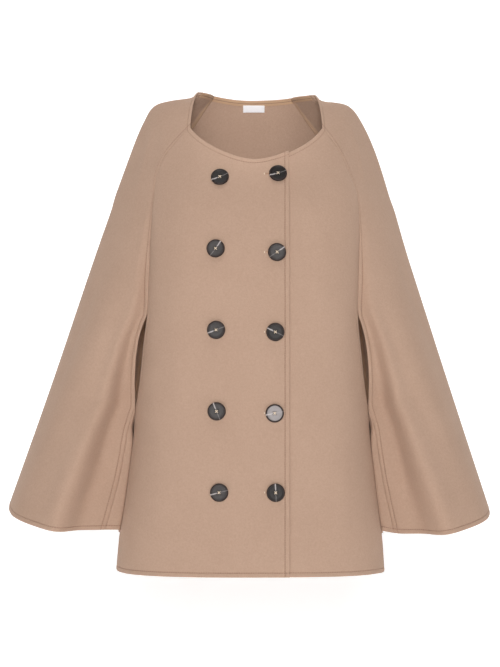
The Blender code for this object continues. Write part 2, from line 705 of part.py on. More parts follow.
def turned(profile, sides):
    """Closed solid of revolution about z, with a flat back and a flat dish."""
    angles = np.linspace(0, 2 * math.pi, sides, endpoint=False)
    rings = [[(r * math.cos(t), r * math.sin(t), h) for t in angles] for r, h in profile]
    points = np.array(rings).reshape(-1, 3)
    faces = [list(range(sides))[::-1]]
    for ring in range(len(profile) - 1):
        for i in range(sides):
            j = (i + 1) % sides
            faces.append([ring * sides + i, ring * sides + j, (ring + 1) * sides + j, (ring + 1) * sides + i])
    faces.append([(len(profile) - 1) * sides + i for i in range(sides)])
    return points, faces


def standing_on(centre, normal):
    """Placement that stands a piece drawn about z on a surface, with its y axis kept upright."""
    side = unit(np.cross([0, 0, 1], normal))
    up = np.cross(normal, side)
    turn = mathutils.Matrix(np.array([side, up, normal]).T.tolist()).to_4x4()
    return mathutils.Matrix.Translation(centre.tolist()) @ turn


def drills():
    """The four thread holes of a button, as cutters in one mesh."""
    points, faces = [], []
    for across, up in ((1, 1), (1, -1), (-1, 1), (-1, -1)):
        rod = [(BUTTON_HOLE_RADIUS, end) for end in BUTTON_DRILL_ENDS]
        drill, drill_faces = turned(rod, BUTTON_HOLE_SIDES)
        faces += [[corner + len(drill) * len(points) for corner in face] for face in drill_faces]
        points.append(drill + np.array([across, up, 0]) * BUTTON_HOLE_PLACE)
    return np.concatenate(points), faces


# Buttons, all on the upper front
for button_name, button_x, button_z in BUTTON_PLACES:
    base = ring_point(np.array(button_x), np.array(button_z), FRONT)
    lean_shift = leaned(base)[0] - base[0]
    base = ring_point(np.array(button_x - lean_shift), np.array(button_z), FRONT)
    normal = ring_normal(base, FRONT)
    centre = leaned(base + normal * (WALL + LAP_GAP + BUTTON_GAP))
    horn = material(f"{button_name} horn", HORN, 0.3)
    disc, disc_faces = turned(BUTTON_PROFILE, BUTTON_SIDES)
    button = add_mesh(button_name, disc, disc_faces, horn, [True] * len(disc_faces))
    button.matrix_world = standing_on(centre, normal)
    drill_points, drill_faces = drills()
    cutter = add_mesh(f"{button_name}_holes", drill_points, drill_faces, horn, [False] * len(drill_faces))
    cutter.matrix_world = button.matrix_world
    cutter.hide_render = True
    cutter.display_type = "WIRE"
    holes = button.modifiers.new("thread holes", "BOOLEAN")
    holes.operation = "DIFFERENCE"
    holes.solver = "EXACT"
    holes.object = cutter
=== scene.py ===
# %% [markdown]
# # A cape coat in thick double-faced wool
# The coat is filled out as worn, with nobody in it. Its panels were cut and sewn, so each one is made here on
# its own, as a sheet of cloth with a wall, rounded edges, sewn lines and soft creases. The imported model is
# loaded first, because it fixes where every panel, button and label sits.

import math

import bpy
import mathutils
import numpy as np
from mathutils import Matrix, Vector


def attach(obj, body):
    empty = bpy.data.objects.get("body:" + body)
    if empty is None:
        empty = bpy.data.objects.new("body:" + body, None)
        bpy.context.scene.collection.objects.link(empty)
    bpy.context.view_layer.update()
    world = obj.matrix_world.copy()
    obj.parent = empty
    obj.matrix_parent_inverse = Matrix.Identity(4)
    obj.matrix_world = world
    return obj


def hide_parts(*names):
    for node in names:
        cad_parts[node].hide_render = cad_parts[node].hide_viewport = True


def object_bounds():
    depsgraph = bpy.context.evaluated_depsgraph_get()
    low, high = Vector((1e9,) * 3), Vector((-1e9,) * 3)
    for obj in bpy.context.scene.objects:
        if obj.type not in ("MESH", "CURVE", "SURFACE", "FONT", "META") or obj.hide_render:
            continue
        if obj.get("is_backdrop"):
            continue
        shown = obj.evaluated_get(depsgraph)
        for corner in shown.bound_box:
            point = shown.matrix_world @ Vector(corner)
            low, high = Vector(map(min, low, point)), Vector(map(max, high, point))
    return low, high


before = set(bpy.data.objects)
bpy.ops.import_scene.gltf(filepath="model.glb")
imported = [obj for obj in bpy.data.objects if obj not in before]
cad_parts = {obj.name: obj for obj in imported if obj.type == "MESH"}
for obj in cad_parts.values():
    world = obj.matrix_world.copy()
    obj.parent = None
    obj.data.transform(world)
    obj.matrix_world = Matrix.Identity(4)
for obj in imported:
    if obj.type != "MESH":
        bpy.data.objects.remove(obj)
cad_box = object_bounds()
print("nodes in the frame:", len(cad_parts))

# %% [markdown]
# ## Camera, backdrop and light
# The coat was shown upright against white, seen level from the front with a long lens. A long lens three
# metres away keeps the sleeves from looking wider than they are. The backdrop is one sheet that runs along
# the floor and up the wall, so no corner shows, and large soft lights leave only a faint shadow. From its
# outer side the sheet is clear, so that the coat also shows from behind.

# %% Camera
CAMERA_DISTANCE, EYE_HEIGHT, SENSOR = 3.0, -0.388, 0.036
METRES_A_PIXEL, PICTURE_HEIGHT = 0.0016, 667

lens = SENSOR * CAMERA_DISTANCE / (METRES_A_PIXEL * PICTURE_HEIGHT)
camera_data = bpy.data.cameras.new("camera")
camera_data.lens = lens * 1000
camera_data.sensor_width = SENSOR * 1000
camera = bpy.data.objects.new("camera", camera_data)
camera.location = (0, -CAMERA_DISTANCE, EYE_HEIGHT)
camera.rotation_euler = (math.pi / 2, 0, 0)
bpy.context.scene.collection.objects.link(camera)
bpy.context.scene.camera = camera
bpy.context.scene.view_settings.view_transform = "Standard"
print("lens", round(camera_data.lens, 1), "mm")


# %% Functions for colours, nodes, materials and meshes
def linear(hex_colour):
    """Linear colour of an sRGB hex value such as c19a78, by the sRGB curve."""
    values = np.array([int(hex_colour[i : i + 2], 16) for i in (0, 2, 4)]) / 255
    curved = np.where(values <= 0.04045, values / 12.92, ((values + 0.055) / 1.055) ** 2.4)
    return (*curved.tolist(), 1.0)


def add(tree, kind, settings=None, **inputs):
    """Adds a node, sets its properties and its inputs. An input is a value, or another node's socket."""
    node = tree.nodes.new(kind)
    for name, value in (settings or {}).items():
        setattr(node, name, value)
    for name, value in inputs.items():
        key = int(name[1:]) if name[0] == "i" and name[1:].isdigit() else name.replace("_", " ")
        socket = node.inputs[key]
        if isinstance(value, bpy.types.NodeSocket):
            tree.links.new(value, socket)
        else:
            socket.default_value = value
    return node


def new_material(name, **values):
    """Material, its node tree and its shader, with the values set on the shader's own sockets."""
    made = bpy.data.materials.new(name)
    made.use_nodes = True
    shader = made.node_tree.nodes["Principled BSDF"]
    for socket, value in values.items():
        shader.inputs[socket.replace("_", " ")].default_value = value
    return made, made.node_tree, shader


def grid_faces(index):
    """Four-sided faces between the neighbours of a grid, given the grid of its points' numbers."""
    return np.stack([index[:-1, :-1], index[:-1, 1:], index[1:, 1:], index[1:, :-1]], axis=-1).reshape(-1, 4)


def tube_faces(index):
    """Four-sided faces of a row of rings, each closed round its last axis."""
    turned = np.roll(index, -1, axis=-1)
    corners = [index[..., :-1, :], turned[..., :-1, :], turned[..., 1:, :], index[..., 1:, :]]
    return np.stack(corners, axis=-1).reshape(-1, 4)


def mesh_object(name, points, quads, material):
    """Mesh of four-sided faces, turned to face outwards by the sign of its volume."""
    corners = points[quads]
    halves = np.concatenate([corners[:, [0, 1, 2]], corners[:, [0, 2, 3]]])
    volume = np.einsum("ij,ij->i", halves[:, 0], np.cross(halves[:, 1], halves[:, 2])).sum()
    if volume < 0:
        quads = quads[:, ::-1]
    mesh = bpy.data.meshes.new(name)
    mesh.vertices.add(len(points))
    mesh.vertices.foreach_set("co", points.astype(np.float32).ravel())
    mesh.loops.add(quads.size)
    mesh.loops.foreach_set("vertex_index", quads.astype(np.int32).ravel())
    mesh.polygons.add(len(quads))
    mesh.polygons.foreach_set("loop_start", np.arange(0, quads.size, 4, dtype=np.int32))
    mesh.update(calc_edges=True)
    mesh.polygons.foreach_set("use_smooth", np.ones(len(quads), bool))
    mesh.materials.append(material)
    made = bpy.data.objects.new(name, mesh)
    bpy.context.scene.collection.objects.link(made)
    return made


# %% Backdrop
WALL_Y, WALL_TOP = 0.62, 3.0
FLOOR_Z, FLOOR_FRONT_Y = -1.05, -4.5
SWEEP_RADIUS, SWEEP_HALF_WIDTH = 0.35, 4.0
STUDIO_RADIUS, STUDIO_TOP, STUDIO_FLOOR_Z = 8.0, 6.0, FLOOR_Z - 0.01

turn = np.linspace(0, math.pi / 2, 25)
sweep_y = np.concatenate([[FLOOR_FRONT_Y], WALL_Y - SWEEP_RADIUS + SWEEP_RADIUS * np.sin(turn), [WALL_Y]])
sweep_z = np.concatenate([[FLOOR_Z], FLOOR_Z + SWEEP_RADIUS - SWEEP_RADIUS * np.cos(turn), [WALL_TOP]])
sweep_line = list(zip(sweep_y, sweep_z))
sweep = np.array([[(x, y, z) for x in (-SWEEP_HALF_WIDTH, SWEEP_HALF_WIDTH)] for y, z in sweep_line])

paper, paper_tree, paper_shader = new_material(
    "white backdrop paper",
    Base_Color=linear("f6f6f6"), Roughness=0.9, Emission_Color=(1, 1, 1, 1), Emission_Strength=0.42,
)
# the sheet's outer side is its front face, and only that side is clear
inside = add(paper_tree, "ShaderNodeNewGeometry").outputs["Backfacing"]
clear = add(paper_tree, "ShaderNodeBsdfTransparent").outputs[0]
one_sided = add(paper_tree, "ShaderNodeMixShader", i0=inside, i1=clear, i2=paper_shader.outputs[0])
paper_tree.links.new(one_sided.outputs[0], paper_tree.nodes["Material Output"].inputs["Surface"])
sweep_faces = grid_faces(np.arange(len(sweep) * 2).reshape(-1, 2))
mesh_object("backdrop", sweep.reshape(-1, 3), sweep_faces, paper)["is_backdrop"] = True

# the studio's own pale floor and round wall lie beyond the sheet. They light nothing and only fill the view
studio_paint, studio_tree = new_material("white studio paint")[:2]
glow = add(studio_tree, "ShaderNodeEmission", Strength=1.0).outputs[0]
studio_tree.links.new(glow, studio_tree.nodes["Material Output"].inputs["Surface"])
around = np.linspace(0, 2 * math.pi, 64, endpoint=False)
studio_line = [(0.01, STUDIO_FLOOR_Z), (STUDIO_RADIUS, STUDIO_FLOOR_Z), (STUDIO_RADIUS, STUDIO_TOP)]
room = np.array([[(r * math.cos(a), r * math.sin(a), z) for a in around] for r, z in studio_line])
studio_faces = tube_faces(np.arange(room[..., 0].size).reshape(len(room), -1))
studio = mesh_object("studio", room.reshape(-1, 3), studio_faces, studio_paint)
for ray in ("diffuse", "glossy", "transmission", "shadow"):
    setattr(studio, "visible_" + ray, False)
studio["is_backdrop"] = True


# %% Lights
# columns: name, place, aimed at, width, height, watts
LIGHTS = [
    ("key", (0.0, -3.1, 0.15), (0.0, 0.0, -0.30), 0.8, 0.8, 45.0),
    ("fill", (-0.3, -3.2, -0.30), (0.0, 0.0, -0.30), 1.2, 1.2, 5.0),
    ("top", (0.1, -0.7, 2.0), (0.0, 0.05, -0.10), 1.8, 1.2, 19.0),
]
for light_name, place, aim, width, height, watts in LIGHTS:
    lamp = bpy.data.lights.new(light_name, "AREA")
    lamp.shape = "RECTANGLE"
    lamp.size, lamp.size_y, lamp.energy = width, height, watts
    holder = bpy.data.objects.new(light_name, lamp)
    back = np.array(place, float) - np.array(aim, float)
    back /= np.linalg.norm(back)
    side = np.cross([0, 0, 1], back)
    side /= np.linalg.norm(side)
    placement = np.eye(4)
    placement[:3, :3] = np.array([side, np.cross(back, side), back]).T
    placement[:3, 3] = place
    holder.matrix_world = mathutils.Matrix(placement.tolist())
    holder.visible_camera = False
    bpy.context.scene.collection.objects.link(holder)

world = bpy.data.worlds.new("studio")
world.use_nodes = True
sky = world.node_tree.nodes["Background"].inputs
sky["Color"].default_value, sky["Strength"].default_value = (1, 1, 1, 1), 0.13
bpy.context.scene.world = world

# a narrow soft beam from the camera's side opens up the inside of the neck
NECK_BEAM_FROM, NECK_BEAM_TO = (0.0, -3.0, 0.12), (0.006, 0.085, -0.064)
NECK_BEAM_REACH, NECK_BEAM_HALF_WIDTH = 3.1, 0.115
beam = bpy.data.lights.new("neck beam", "SPOT")
beam.energy, beam.spot_blend, beam.shadow_soft_size = 110.0, 0.8, 0.05
beam.spot_size = 2 * math.atan(NECK_BEAM_HALF_WIDTH / NECK_BEAM_REACH)
beam_holder = bpy.data.objects.new("neck beam", beam)
beam_holder.location = NECK_BEAM_FROM
beam_way = mathutils.Vector(NECK_BEAM_TO) - mathutils.Vector(NECK_BEAM_FROM)
beam_holder.rotation_euler = beam_way.to_track_quat("-Z", "Y").to_euler()
bpy.context.scene.collection.objects.link(beam_holder)

# %% [markdown]
# ## The cut of the coat
# The body is a tube with a soft square section, wider than deep. A row of a table gives its size at one
# height, and a smooth curve runs between the rows. Each cape sleeve is half a cone that starts at the neck,
# goes over the shoulder and widens to its hem. Its section runs from the armhole to the overarm seam.

# %% Tables of the body


def table(columns, *rows):
    """Named columns of a short table whose rows run downwards, turned so that the height grows."""
    return dict(zip(columns.split(), np.array(rows, float)[::-1].T))


WALL = 0.0022
LAP_GAP = 0.0008
UNDERARM_GAP = 0.0008
UNDERARM_GAP_LENGTH = 0.060
SHALLOWEST_CORNER = 0.6
ROUNDNESS = 3.0
RINGS = table(
    "height half_width front_depth back_depth",
    (0.005, 0.149, 0.028, 0.0625),
    (-0.0635, 0.16, 0.055, 0.085),
    (-0.118, 0.168, 0.086, 0.1),
    (-0.2, 0.174, 0.12, 0.112),
    (-0.3, 0.176, 0.134, 0.116),
    (-0.4, 0.179, 0.137, 0.118),
    (-0.46, 0.183, 0.138, 0.12),
    (-0.5, 0.1855, 0.139, 0.122),
    (-0.54, 0.1875, 0.14, 0.125),
    (-0.6, 0.194, 0.142, 0.13),
    (-0.67, 0.2027, 0.144, 0.136),
    (-0.71, 0.209, 0.145, 0.139),
    (-0.77, 0.2137, 0.147, 0.143),
)
HEM_HEIGHT = -0.7595
HEM_DIP_AT_SIDES = 0.0015
NECK_CENTRE_HEIGHT = -0.118
NECK_CORNER_X = 0.104
NECK_CORNER_HEIGHT = -0.0635
NECK_CURVE = 1.7
NECK_CORNER_CURVE = 8
NECK_CORNER_SHARE = 0.13
BACK_NECK_X = 0.065
BACK_NECK_CENTRE_HEIGHT = -0.0072
BACK_NECK_CORNER_HEIGHT = 0.0005
LAP_HALF_WIDTH = 0.0604
LAP_RISE_START = -0.140
LAP_RISE_LENGTH = 0.070
FRONT_ARMHOLE = table(
    "height x",
    (-0.0635, 0.104), (-0.084, 0.121), (-0.105, 0.1365), (-0.119, 0.144), (-0.142, 0.153),
    (-0.165, 0.1585), (-0.2, 0.162), (-0.24, 0.1632), (-0.335, 0.1635), (-0.36, 0.1645), (-0.41, 0.1705),
    (-0.445, 0.1738), (-0.4875, 0.1795), (-0.5, 0.182),
)
BACK_ARMHOLE = table(
    "height x",
    (0.0005, 0.065), (-0.05, 0.0975), (-0.1, 0.129), (-0.15, 0.151), (-0.2, 0.161), (-0.3, 0.165),
    (-0.4, 0.17), (-0.5, 0.182),
)
SLIT_TOP = -0.360
ARMHOLE_CORNER = -0.500
ARMHOLE_BOTTOM = -0.530

# %% Tables of the sleeves
SLEEVE_EDGE = table(
    "height x y",
    (-0.36, 0.1645, -0.0795), (-0.375, 0.1702, -0.0795), (-0.4, 0.1768, -0.078),
    (-0.437, 0.1814, -0.0735), (-0.47, 0.1828, -0.0655), (-0.5, 0.1828, -0.0531), (-0.515, 0.187, -0.052),
    (-0.54, 0.194, -0.0505), (-0.58, 0.2005, -0.0475), (-0.615, 0.207, -0.045), (-0.65, 0.2155, -0.0425),
    (-0.698, 0.228, -0.04),
)
SLEEVE_HEM = -0.698
UNDER_SLEEVE_HEM = -0.7056
UNDER_SLEEVE_BACK_Y = 0.0430
UNDER_SLEEVE_SQUARED = (0.515, 0.605)
MORE_ROUNDNESS_BELOW = 97
BESIDE_GAP = 0.0001
SLEEVE_SECTIONS = table(
    "height outer_x outer_y outer_z back_seam_height over lean belly",
    (-0.0635, 0.092, 0.01, 0.0, 0.0005, 1.0, 0.6, 0.0),
    (-0.072, 0.1025, 0.01, -0.0095, -0.0145, 1.0, 0.6, 0.0),
    (-0.089, 0.1266, 0.01, -0.0135, -0.036, 1.0, 0.6, 0.0),
    (-0.11, 0.1518, 0.009, -0.0205, -0.062, 0.95, 0.55, 0.0),
    (-0.13, 0.1636, 0.008, -0.03, -0.085, 0.85, 0.5, 0.0),
    (-0.156, 0.1728, 0.007, -0.045, -0.115, 0.7, 0.4, 0.001),
    (-0.205, 0.1875, 0.005, -0.076, -0.17, 0.45, 0.25, 0.004),
    (-0.37, 0.2565, 0.0, -0.2835, -0.36, 0.1, 0.1, 0.012),
    (-0.535, 0.3196, 0.0, -0.475, -0.535, 0.0, 0.0, 0.02),
    (-0.698, 0.3835, 0.0, -0.66, -0.698, 0.0, 0.0, 0.024),
)
LEAN = table(
    "height body_shift outer_shift",
    (0.0, 0.0104, 0.0005), (-0.05, 0.01, 0.0042), (-0.1, 0.0098, 0.0052), (-0.2, 0.0085, 0.0028),
    (-0.34, 0.0045, 0.0015), (-0.4, 0.003, 0.001), (-0.77, 0.003, -0.0024),
)
SHIFT_CHANGE_ABOVE = (0.10, 0.15)
SHIFT_CHANGE_BELOW = (0.17, 0.26)
SHIFT_CHANGE_HEIGHTS = (0.12, 0.20)
BACK_LEAN_CUT, CUT_FROM_Y, CUT_FROM_Z = 0.0060, (0, 0.06), (-0.15, -0.05)
LEFT_SLEEVE_DROP, SLEEVE_DROP_X, SLEEVE_DROP_DEPTH = 0.0060, (0.19, 0.24), (0.45, 0.70)
LEFT_NECK_DROP, NECK_DROP_Z = 0.0045, (-0.07, -0.02)
NECK_DROP_GROWS_X, NECK_DROP_FADES_X = (0.01, 0.09), (-0.16, -0.11)
FRONT, BACK = -1, 1
DIFFERENCE_STEP = 5e-4


# %% Curves through the tables
def curve(rows, column, at):
    """Smooth curve through a column over its height column: cubic pieces whose slopes are the harmonic means
    of the slopes on both sides, so that it doesn't overshoot."""
    keys, values = rows["height"], rows[column]
    step = np.diff(keys)
    slope = np.diff(values) / step
    product = slope[:-1] * slope[1:]
    total = np.where(product > 0, slope[:-1] + slope[1:], 1.0)
    tangent = np.concatenate([slope[:1], np.where(product > 0, 2 * product / total, 0.0), slope[-1:]])
    at = np.clip(at, keys[0], keys[-1])
    i = np.clip(np.searchsorted(keys, at, side="right") - 1, 0, len(step) - 1)
    u = (at - keys[i]) / step[i]
    start = values[i] * (1 + 2 * u) * (1 - u) ** 2 + tangent[i] * step[i] * u * (1 - u) ** 2
    end = values[i + 1] * u**2 * (3 - 2 * u) + tangent[i + 1] * step[i] * u**2 * (u - 1)
    return start + end


def ramp(value, start, end):
    """0 before start, 1 after end, and a smooth step between: three times its square less two of its cube."""
    u = np.clip((value - start) / (end - start), 0, 1)
    return u * u * (3 - 2 * u)


def bell(value, width):
    """Bell curve: 1 in its middle, 0.37 at its width and almost 0 at twice its width."""
    return np.exp(-((value / width) ** 2))


def unit(vectors):
    return vectors / np.linalg.norm(vectors, axis=-1, keepdims=True)


def crease_rise(rows, across, down):
    """Sum of short creases, each a bell curve across its line that fades out at both ends by a half sine."""
    total = np.zeros(np.broadcast(across, down).shape)
    for start, end, place, place_at_end, width, height in rows:
        share = np.clip((start - down) / (start - end), 0, 1)
        centre = place + (place_at_end - place) * share
        total += height * np.sin(math.pi * share) ** 1.5 * bell(across - centre, width)
    return total


# %% [markdown]
# ## The body tube
# A ring of the body is a superellipse: the third powers of the shares of its half-width and its depth add up
# to one. That is flatter over the chest and rounder at the sides than an ellipse, as thick wool falls.


# %% Rings of the body
def half_width(z):
    return curve(RINGS, "half_width", z)


def depth(z, side):
    return curve(RINGS, "front_depth" if side == FRONT else "back_depth", z)


def fullness(share):
    """The other half-axis's share: the root of one less the third power of this one's share."""
    return np.clip(1 - np.abs(share) ** ROUNDNESS, 0, 1) ** (1 / ROUNDNESS)


def ring_point(x, z, side):
    y = side * depth(z, side) * fullness(x / half_width(z))
    return np.stack([x, y, z], axis=-1)


def ring_normal(points, side):
    """Outward normal: the slope of the ring's formula in x, y and z."""
    x, y, z = np.moveaxis(points, -1, 0)
    a, b = half_width(z), depth(z, side)
    step = DIFFERENCE_STEP
    a_slope = (half_width(z + step) - half_width(z - step)) / (2 * step)
    b_slope = (depth(z + step, side) - depth(z - step, side)) / (2 * step)
    across = np.sign(x) * np.abs(x / a) ** (ROUNDNESS - 1) / a
    along = np.sign(y) * np.abs(y / b) ** (ROUNDNESS - 1) / b
    up = -(np.abs(x / a) ** ROUNDNESS * a_slope / a + np.abs(y / b) ** ROUNDNESS * b_slope / b)
    return unit(np.stack([across, along, up], axis=-1))


def turn_at(x, a):
    """Place of a point round a ring, signed as x: the 2/3 power of its angle, which is as x in the middle."""
    return np.sign(x) * np.arcsin(np.clip(np.abs(x) / a, 0, 1) ** (ROUNDNESS / 2)) ** (2 / ROUNDNESS)


def armhole_x(z, side):
    """Edge of a body panel: the armhole, its rounded bottom, and the side seam below."""
    armhole = FRONT_ARMHOLE if side == FRONT else BACK_ARMHOLE
    corner = ring_point(curve(armhole, "x", ARMHOLE_CORNER), np.asarray(ARMHOLE_CORNER), side)
    fallen = np.clip((ARMHOLE_CORNER - z) / (ARMHOLE_CORNER - ARMHOLE_BOTTOM), 0, 1)
    y_left = np.abs(corner[1]) * (1 - fallen**2) ** (1 / ROUNDNESS)
    below = half_width(z) * fullness(y_left / depth(z, side))
    return np.where(z >= ARMHOLE_CORNER, curve(armhole, "x", z), below)


def on_armhole(z, side):
    """Points of the armhole edge at these heights."""
    z = np.asarray(z, float)
    return ring_point(armhole_x(z, side), z, side)


def front_neck_height(x):
    """The 1.7th power of the place out from the middle, mixed with the 8th, which rounds the corners."""
    out = np.abs(x) / NECK_CORNER_X
    share = (1 - NECK_CORNER_SHARE) * out**NECK_CURVE + NECK_CORNER_SHARE * out**NECK_CORNER_CURVE
    return NECK_CENTRE_HEIGHT + (NECK_CORNER_HEIGHT - NECK_CENTRE_HEIGHT) * share


def back_neck_height(x):
    rise = BACK_NECK_CORNER_HEIGHT - BACK_NECK_CENTRE_HEIGHT
    return BACK_NECK_CENTRE_HEIGHT + rise * (x / BACK_NECK_X) ** 2


def hem_height(x):
    side_x = half_width(HEM_HEIGHT - HEM_DIP_AT_SIDES)
    return HEM_HEIGHT - HEM_DIP_AT_SIDES * (np.abs(x) / side_x) ** 3


# %% Body panels as surfaces of two parameters
def body_surface(side, mirror=1):
    """Surface over u, from one edge to the other, and row, the height on the armhole edge. The place round
    the ring runs evenly between the two edges, and the height evenly between the neckline and the hem."""
    first = np.asarray(NECK_CORNER_HEIGHT if side == FRONT else BACK_NECK_CORNER_HEIGHT)
    last = np.asarray(HEM_HEIGHT - HEM_DIP_AT_SIDES)
    neck_height = front_neck_height if side == FRONT else back_neck_height

    def across(u, row, z):
        far = turn_at(armhole_x(row, side), half_width(row))
        lap_x = -LAP_HALF_WIDTH - mirror * curve(LEAN, "body_shift", z)
        near = turn_at(lap_x, half_width(z)) if side == FRONT else -far
        turn = near + (far - near) * u
        angle = np.abs(turn) ** (ROUNDNESS / 2)
        return np.sign(turn) * half_width(z) * np.sin(angle) ** (2 / ROUNDNESS), angle

    def surface(u, row):
        top = neck_height(across(u, first, first)[0])
        bottom = hem_height(across(u, last, last)[0])
        z = top + (bottom - top) * (row - first) / (last - first)
        x, angle = across(u, row, z)
        y = side * depth(z, side) * np.clip(np.cos(angle), 0, 1) ** (2 / ROUNDNESS)
        return np.stack([x, y, z], axis=-1)

    return surface


# %% [markdown]
# ## The cape sleeves
# A sleeve panel has a straight line to its edge and a section that climbs over the shoulder near the neck and
# only goes out lower down. Long folds fall from the arm to the hem, deepest at the hem.


# %% Edges of a sleeve
def edge_x(z):
    """Sleeve's front edge: on the armhole, then free along the slit, then the under-sleeve seam."""
    return np.where(z >= SLIT_TOP, armhole_x(np.maximum(z, SLIT_TOP), FRONT), curve(SLEEVE_EDGE, "x", z))


def edge_y(z):
    missed = on_armhole(SLIT_TOP, FRONT)[..., 1] - curve(SLEEVE_EDGE, "y", SLIT_TOP)
    free = curve(SLEEVE_EDGE, "y", z) + missed * (1 - ramp(-z, -SLIT_TOP, -ARMHOLE_CORNER))
    return np.where(z >= SLIT_TOP, on_armhole(np.maximum(z, SLIT_TOP), FRONT)[..., 1], free)


def back_edge(row):
    """Sleeve's back edge: on the back armhole, then the under-sleeve seam."""
    z = curve(SLEEVE_SECTIONS, "back_seam_height", row)
    on_ring = on_armhole(np.maximum(z, ARMHOLE_CORNER), BACK)
    opened = ramp(-z, -ARMHOLE_CORNER - UNDERARM_GAP_LENGTH, -ARMHOLE_CORNER)
    x = np.where(z >= ARMHOLE_CORNER, on_ring[..., 0] + UNDERARM_GAP * opened, curve(SLEEVE_EDGE, "x", z))
    share = ramp(-z, -ARMHOLE_CORNER, -SLEEVE_HEM)
    corner_y = on_armhole(ARMHOLE_CORNER, BACK)[1]
    y_below = corner_y + (UNDER_SLEEVE_BACK_Y - corner_y) * share
    return np.stack([x, np.where(z >= ARMHOLE_CORNER, on_ring[..., 1], y_below), z], axis=-1)


# %% Section and folds of a sleeve
def sleeve_base(u, row, side):
    """Section from the body-side edge at u 0 to the overarm seam at u 1: sine and cosine shares of the way
    out, back and up, mixed by the over and lean columns, plus the belly's half sine."""
    if side == FRONT:
        inner = np.stack([edge_x(row), edge_y(row), row], axis=-1)
    else:
        inner = back_edge(row)
    outer = np.stack([curve(SLEEVE_SECTIONS, "outer_" + axis, row) for axis in "xyz"], axis=-1)
    over, lean, belly = (curve(SLEEVE_SECTIONS, name, row) for name in ("over", "lean", "belly"))
    rising, falling = np.sin(u * math.pi / 2), 1 - np.cos(u * math.pi / 2)
    shares = [part * rising + (1 - part) * falling for part in (1 - over, lean, over)]
    points = inner + (outer - inner) * np.stack(shares, axis=-1)
    points[..., 1] += side * belly * np.sin(u * math.pi)
    return points


def normal_of(surface, u, row, low, high):
    """Unit normal of a surface over (u, row): the cross product of its small differences."""
    step = DIFFERENCE_STEP
    u_a, u_b = np.clip(u - step, low[0], high[0]), np.clip(u + step, low[0], high[0])
    row_a, row_b = np.clip(row - step, low[1], high[1]), np.clip(row + step, low[1], high[1])
    across = surface(u_b, row) - surface(u_a, row)
    along = surface(u, row_b) - surface(u, row_a)
    return unit(np.cross(across, along))


SLEEVE_LIMITS = (0, SLEEVE_HEM), (1, NECK_CORNER_HEIGHT)
FOLD_FADE_INNER = 0.06
FOLD_FADE_OUTER = 0.15


def sleeve_surface(side, folds, creases):
    """Section with its long folds, each a bell curve across the panel that grows towards the hem, and its
    short creases, which fade out at both ends."""

    def base_normal(u, row):
        return -side * normal_of(lambda a, b: sleeve_base(a, b, side), u, row, *SLEEVE_LIMITS)

    def surface(u, row):
        rise = crease_rise(creases, u, row)
        for start, place, place_at_hem, width, width_at_hem, rise_at_hem in folds:
            grown = ramp(-row, -start, -SLEEVE_HEM)
            centre = place + (place_at_hem - place) * grown
            reach = width + (width_at_hem - width) * grown
            rise += rise_at_hem * grown * bell(u - centre, reach)
        rise *= ramp(u, 0, FOLD_FADE_INNER) * ramp(1 - u, 0, FOLD_FADE_OUTER)
        return sleeve_base(u, row, side) + base_normal(u, row) * rise[..., None]

    return surface


def sleeve_normal(surface, side, u, row):
    return -side * normal_of(surface, u, row, *SLEEVE_LIMITS)


# %% The under-sleeve, a strip beside the body under the armhole
def beside_body(y, z):
    """Place across of a point just clear of the body's side, by the ring's formula."""
    deep = np.where(y < 0, depth(z, FRONT), depth(z, BACK))
    return half_width(z) * fullness(y / deep) + BESIDE_GAP


def under_sleeve_section(w, row, z):
    """Section from the front seam at w -1 to the back seam at w 1. It follows the body's side, and bows out
    to the seams by the third power of w at the armhole and by the 100th below, where it is nearly square."""
    front_y, back_y = edge_y(row), back_edge(row)[..., 1]
    y = front_y + (back_y - front_y) * (w + 1) / 2
    seam_y = np.where(w < 0, front_y, back_y)
    bow = np.abs(w) ** (ROUNDNESS + MORE_ROUNDNESS_BELOW * ramp(-row, *UNDER_SLEEVE_SQUARED))
    x = beside_body(y, z) + (curve(SLEEVE_EDGE, "x", row) - beside_body(seam_y, row)) * bow
    return np.stack([x, y, z], axis=-1)


def across_under(u):
    """Place w from an even one: the 2/3 power of the sine of its angle, which suits the soft corners."""
    turn = (u - 0.5) * math.pi
    return np.sign(turn) * np.abs(np.sin(turn)) ** (2 / ROUNDNESS)


def under_sleeve_surface(u, row):
    """Section lowered at the top to the rounded armhole bottom, and at the hem to its dip."""
    w = across_under(u)
    fallen = (row - ARMHOLE_CORNER) / (SLEEVE_HEM - ARMHOLE_CORNER)
    top = ARMHOLE_CORNER + (ARMHOLE_BOTTOM - ARMHOLE_CORNER) * np.sqrt(1 - np.abs(w) ** ROUNDNESS)
    bottom = SLEEVE_HEM + (UNDER_SLEEVE_HEM - SLEEVE_HEM) * (1 - w**2)
    return under_sleeve_section(w, row, top + (bottom - top) * fallen)


def under_sleeve_normal(u, row):
    limits = (-1, SLEEVE_HEM), (1, ARMHOLE_CORNER)
    return -normal_of(lambda a, b: under_sleeve_section(a, b, b), across_under(u), row, *limits)


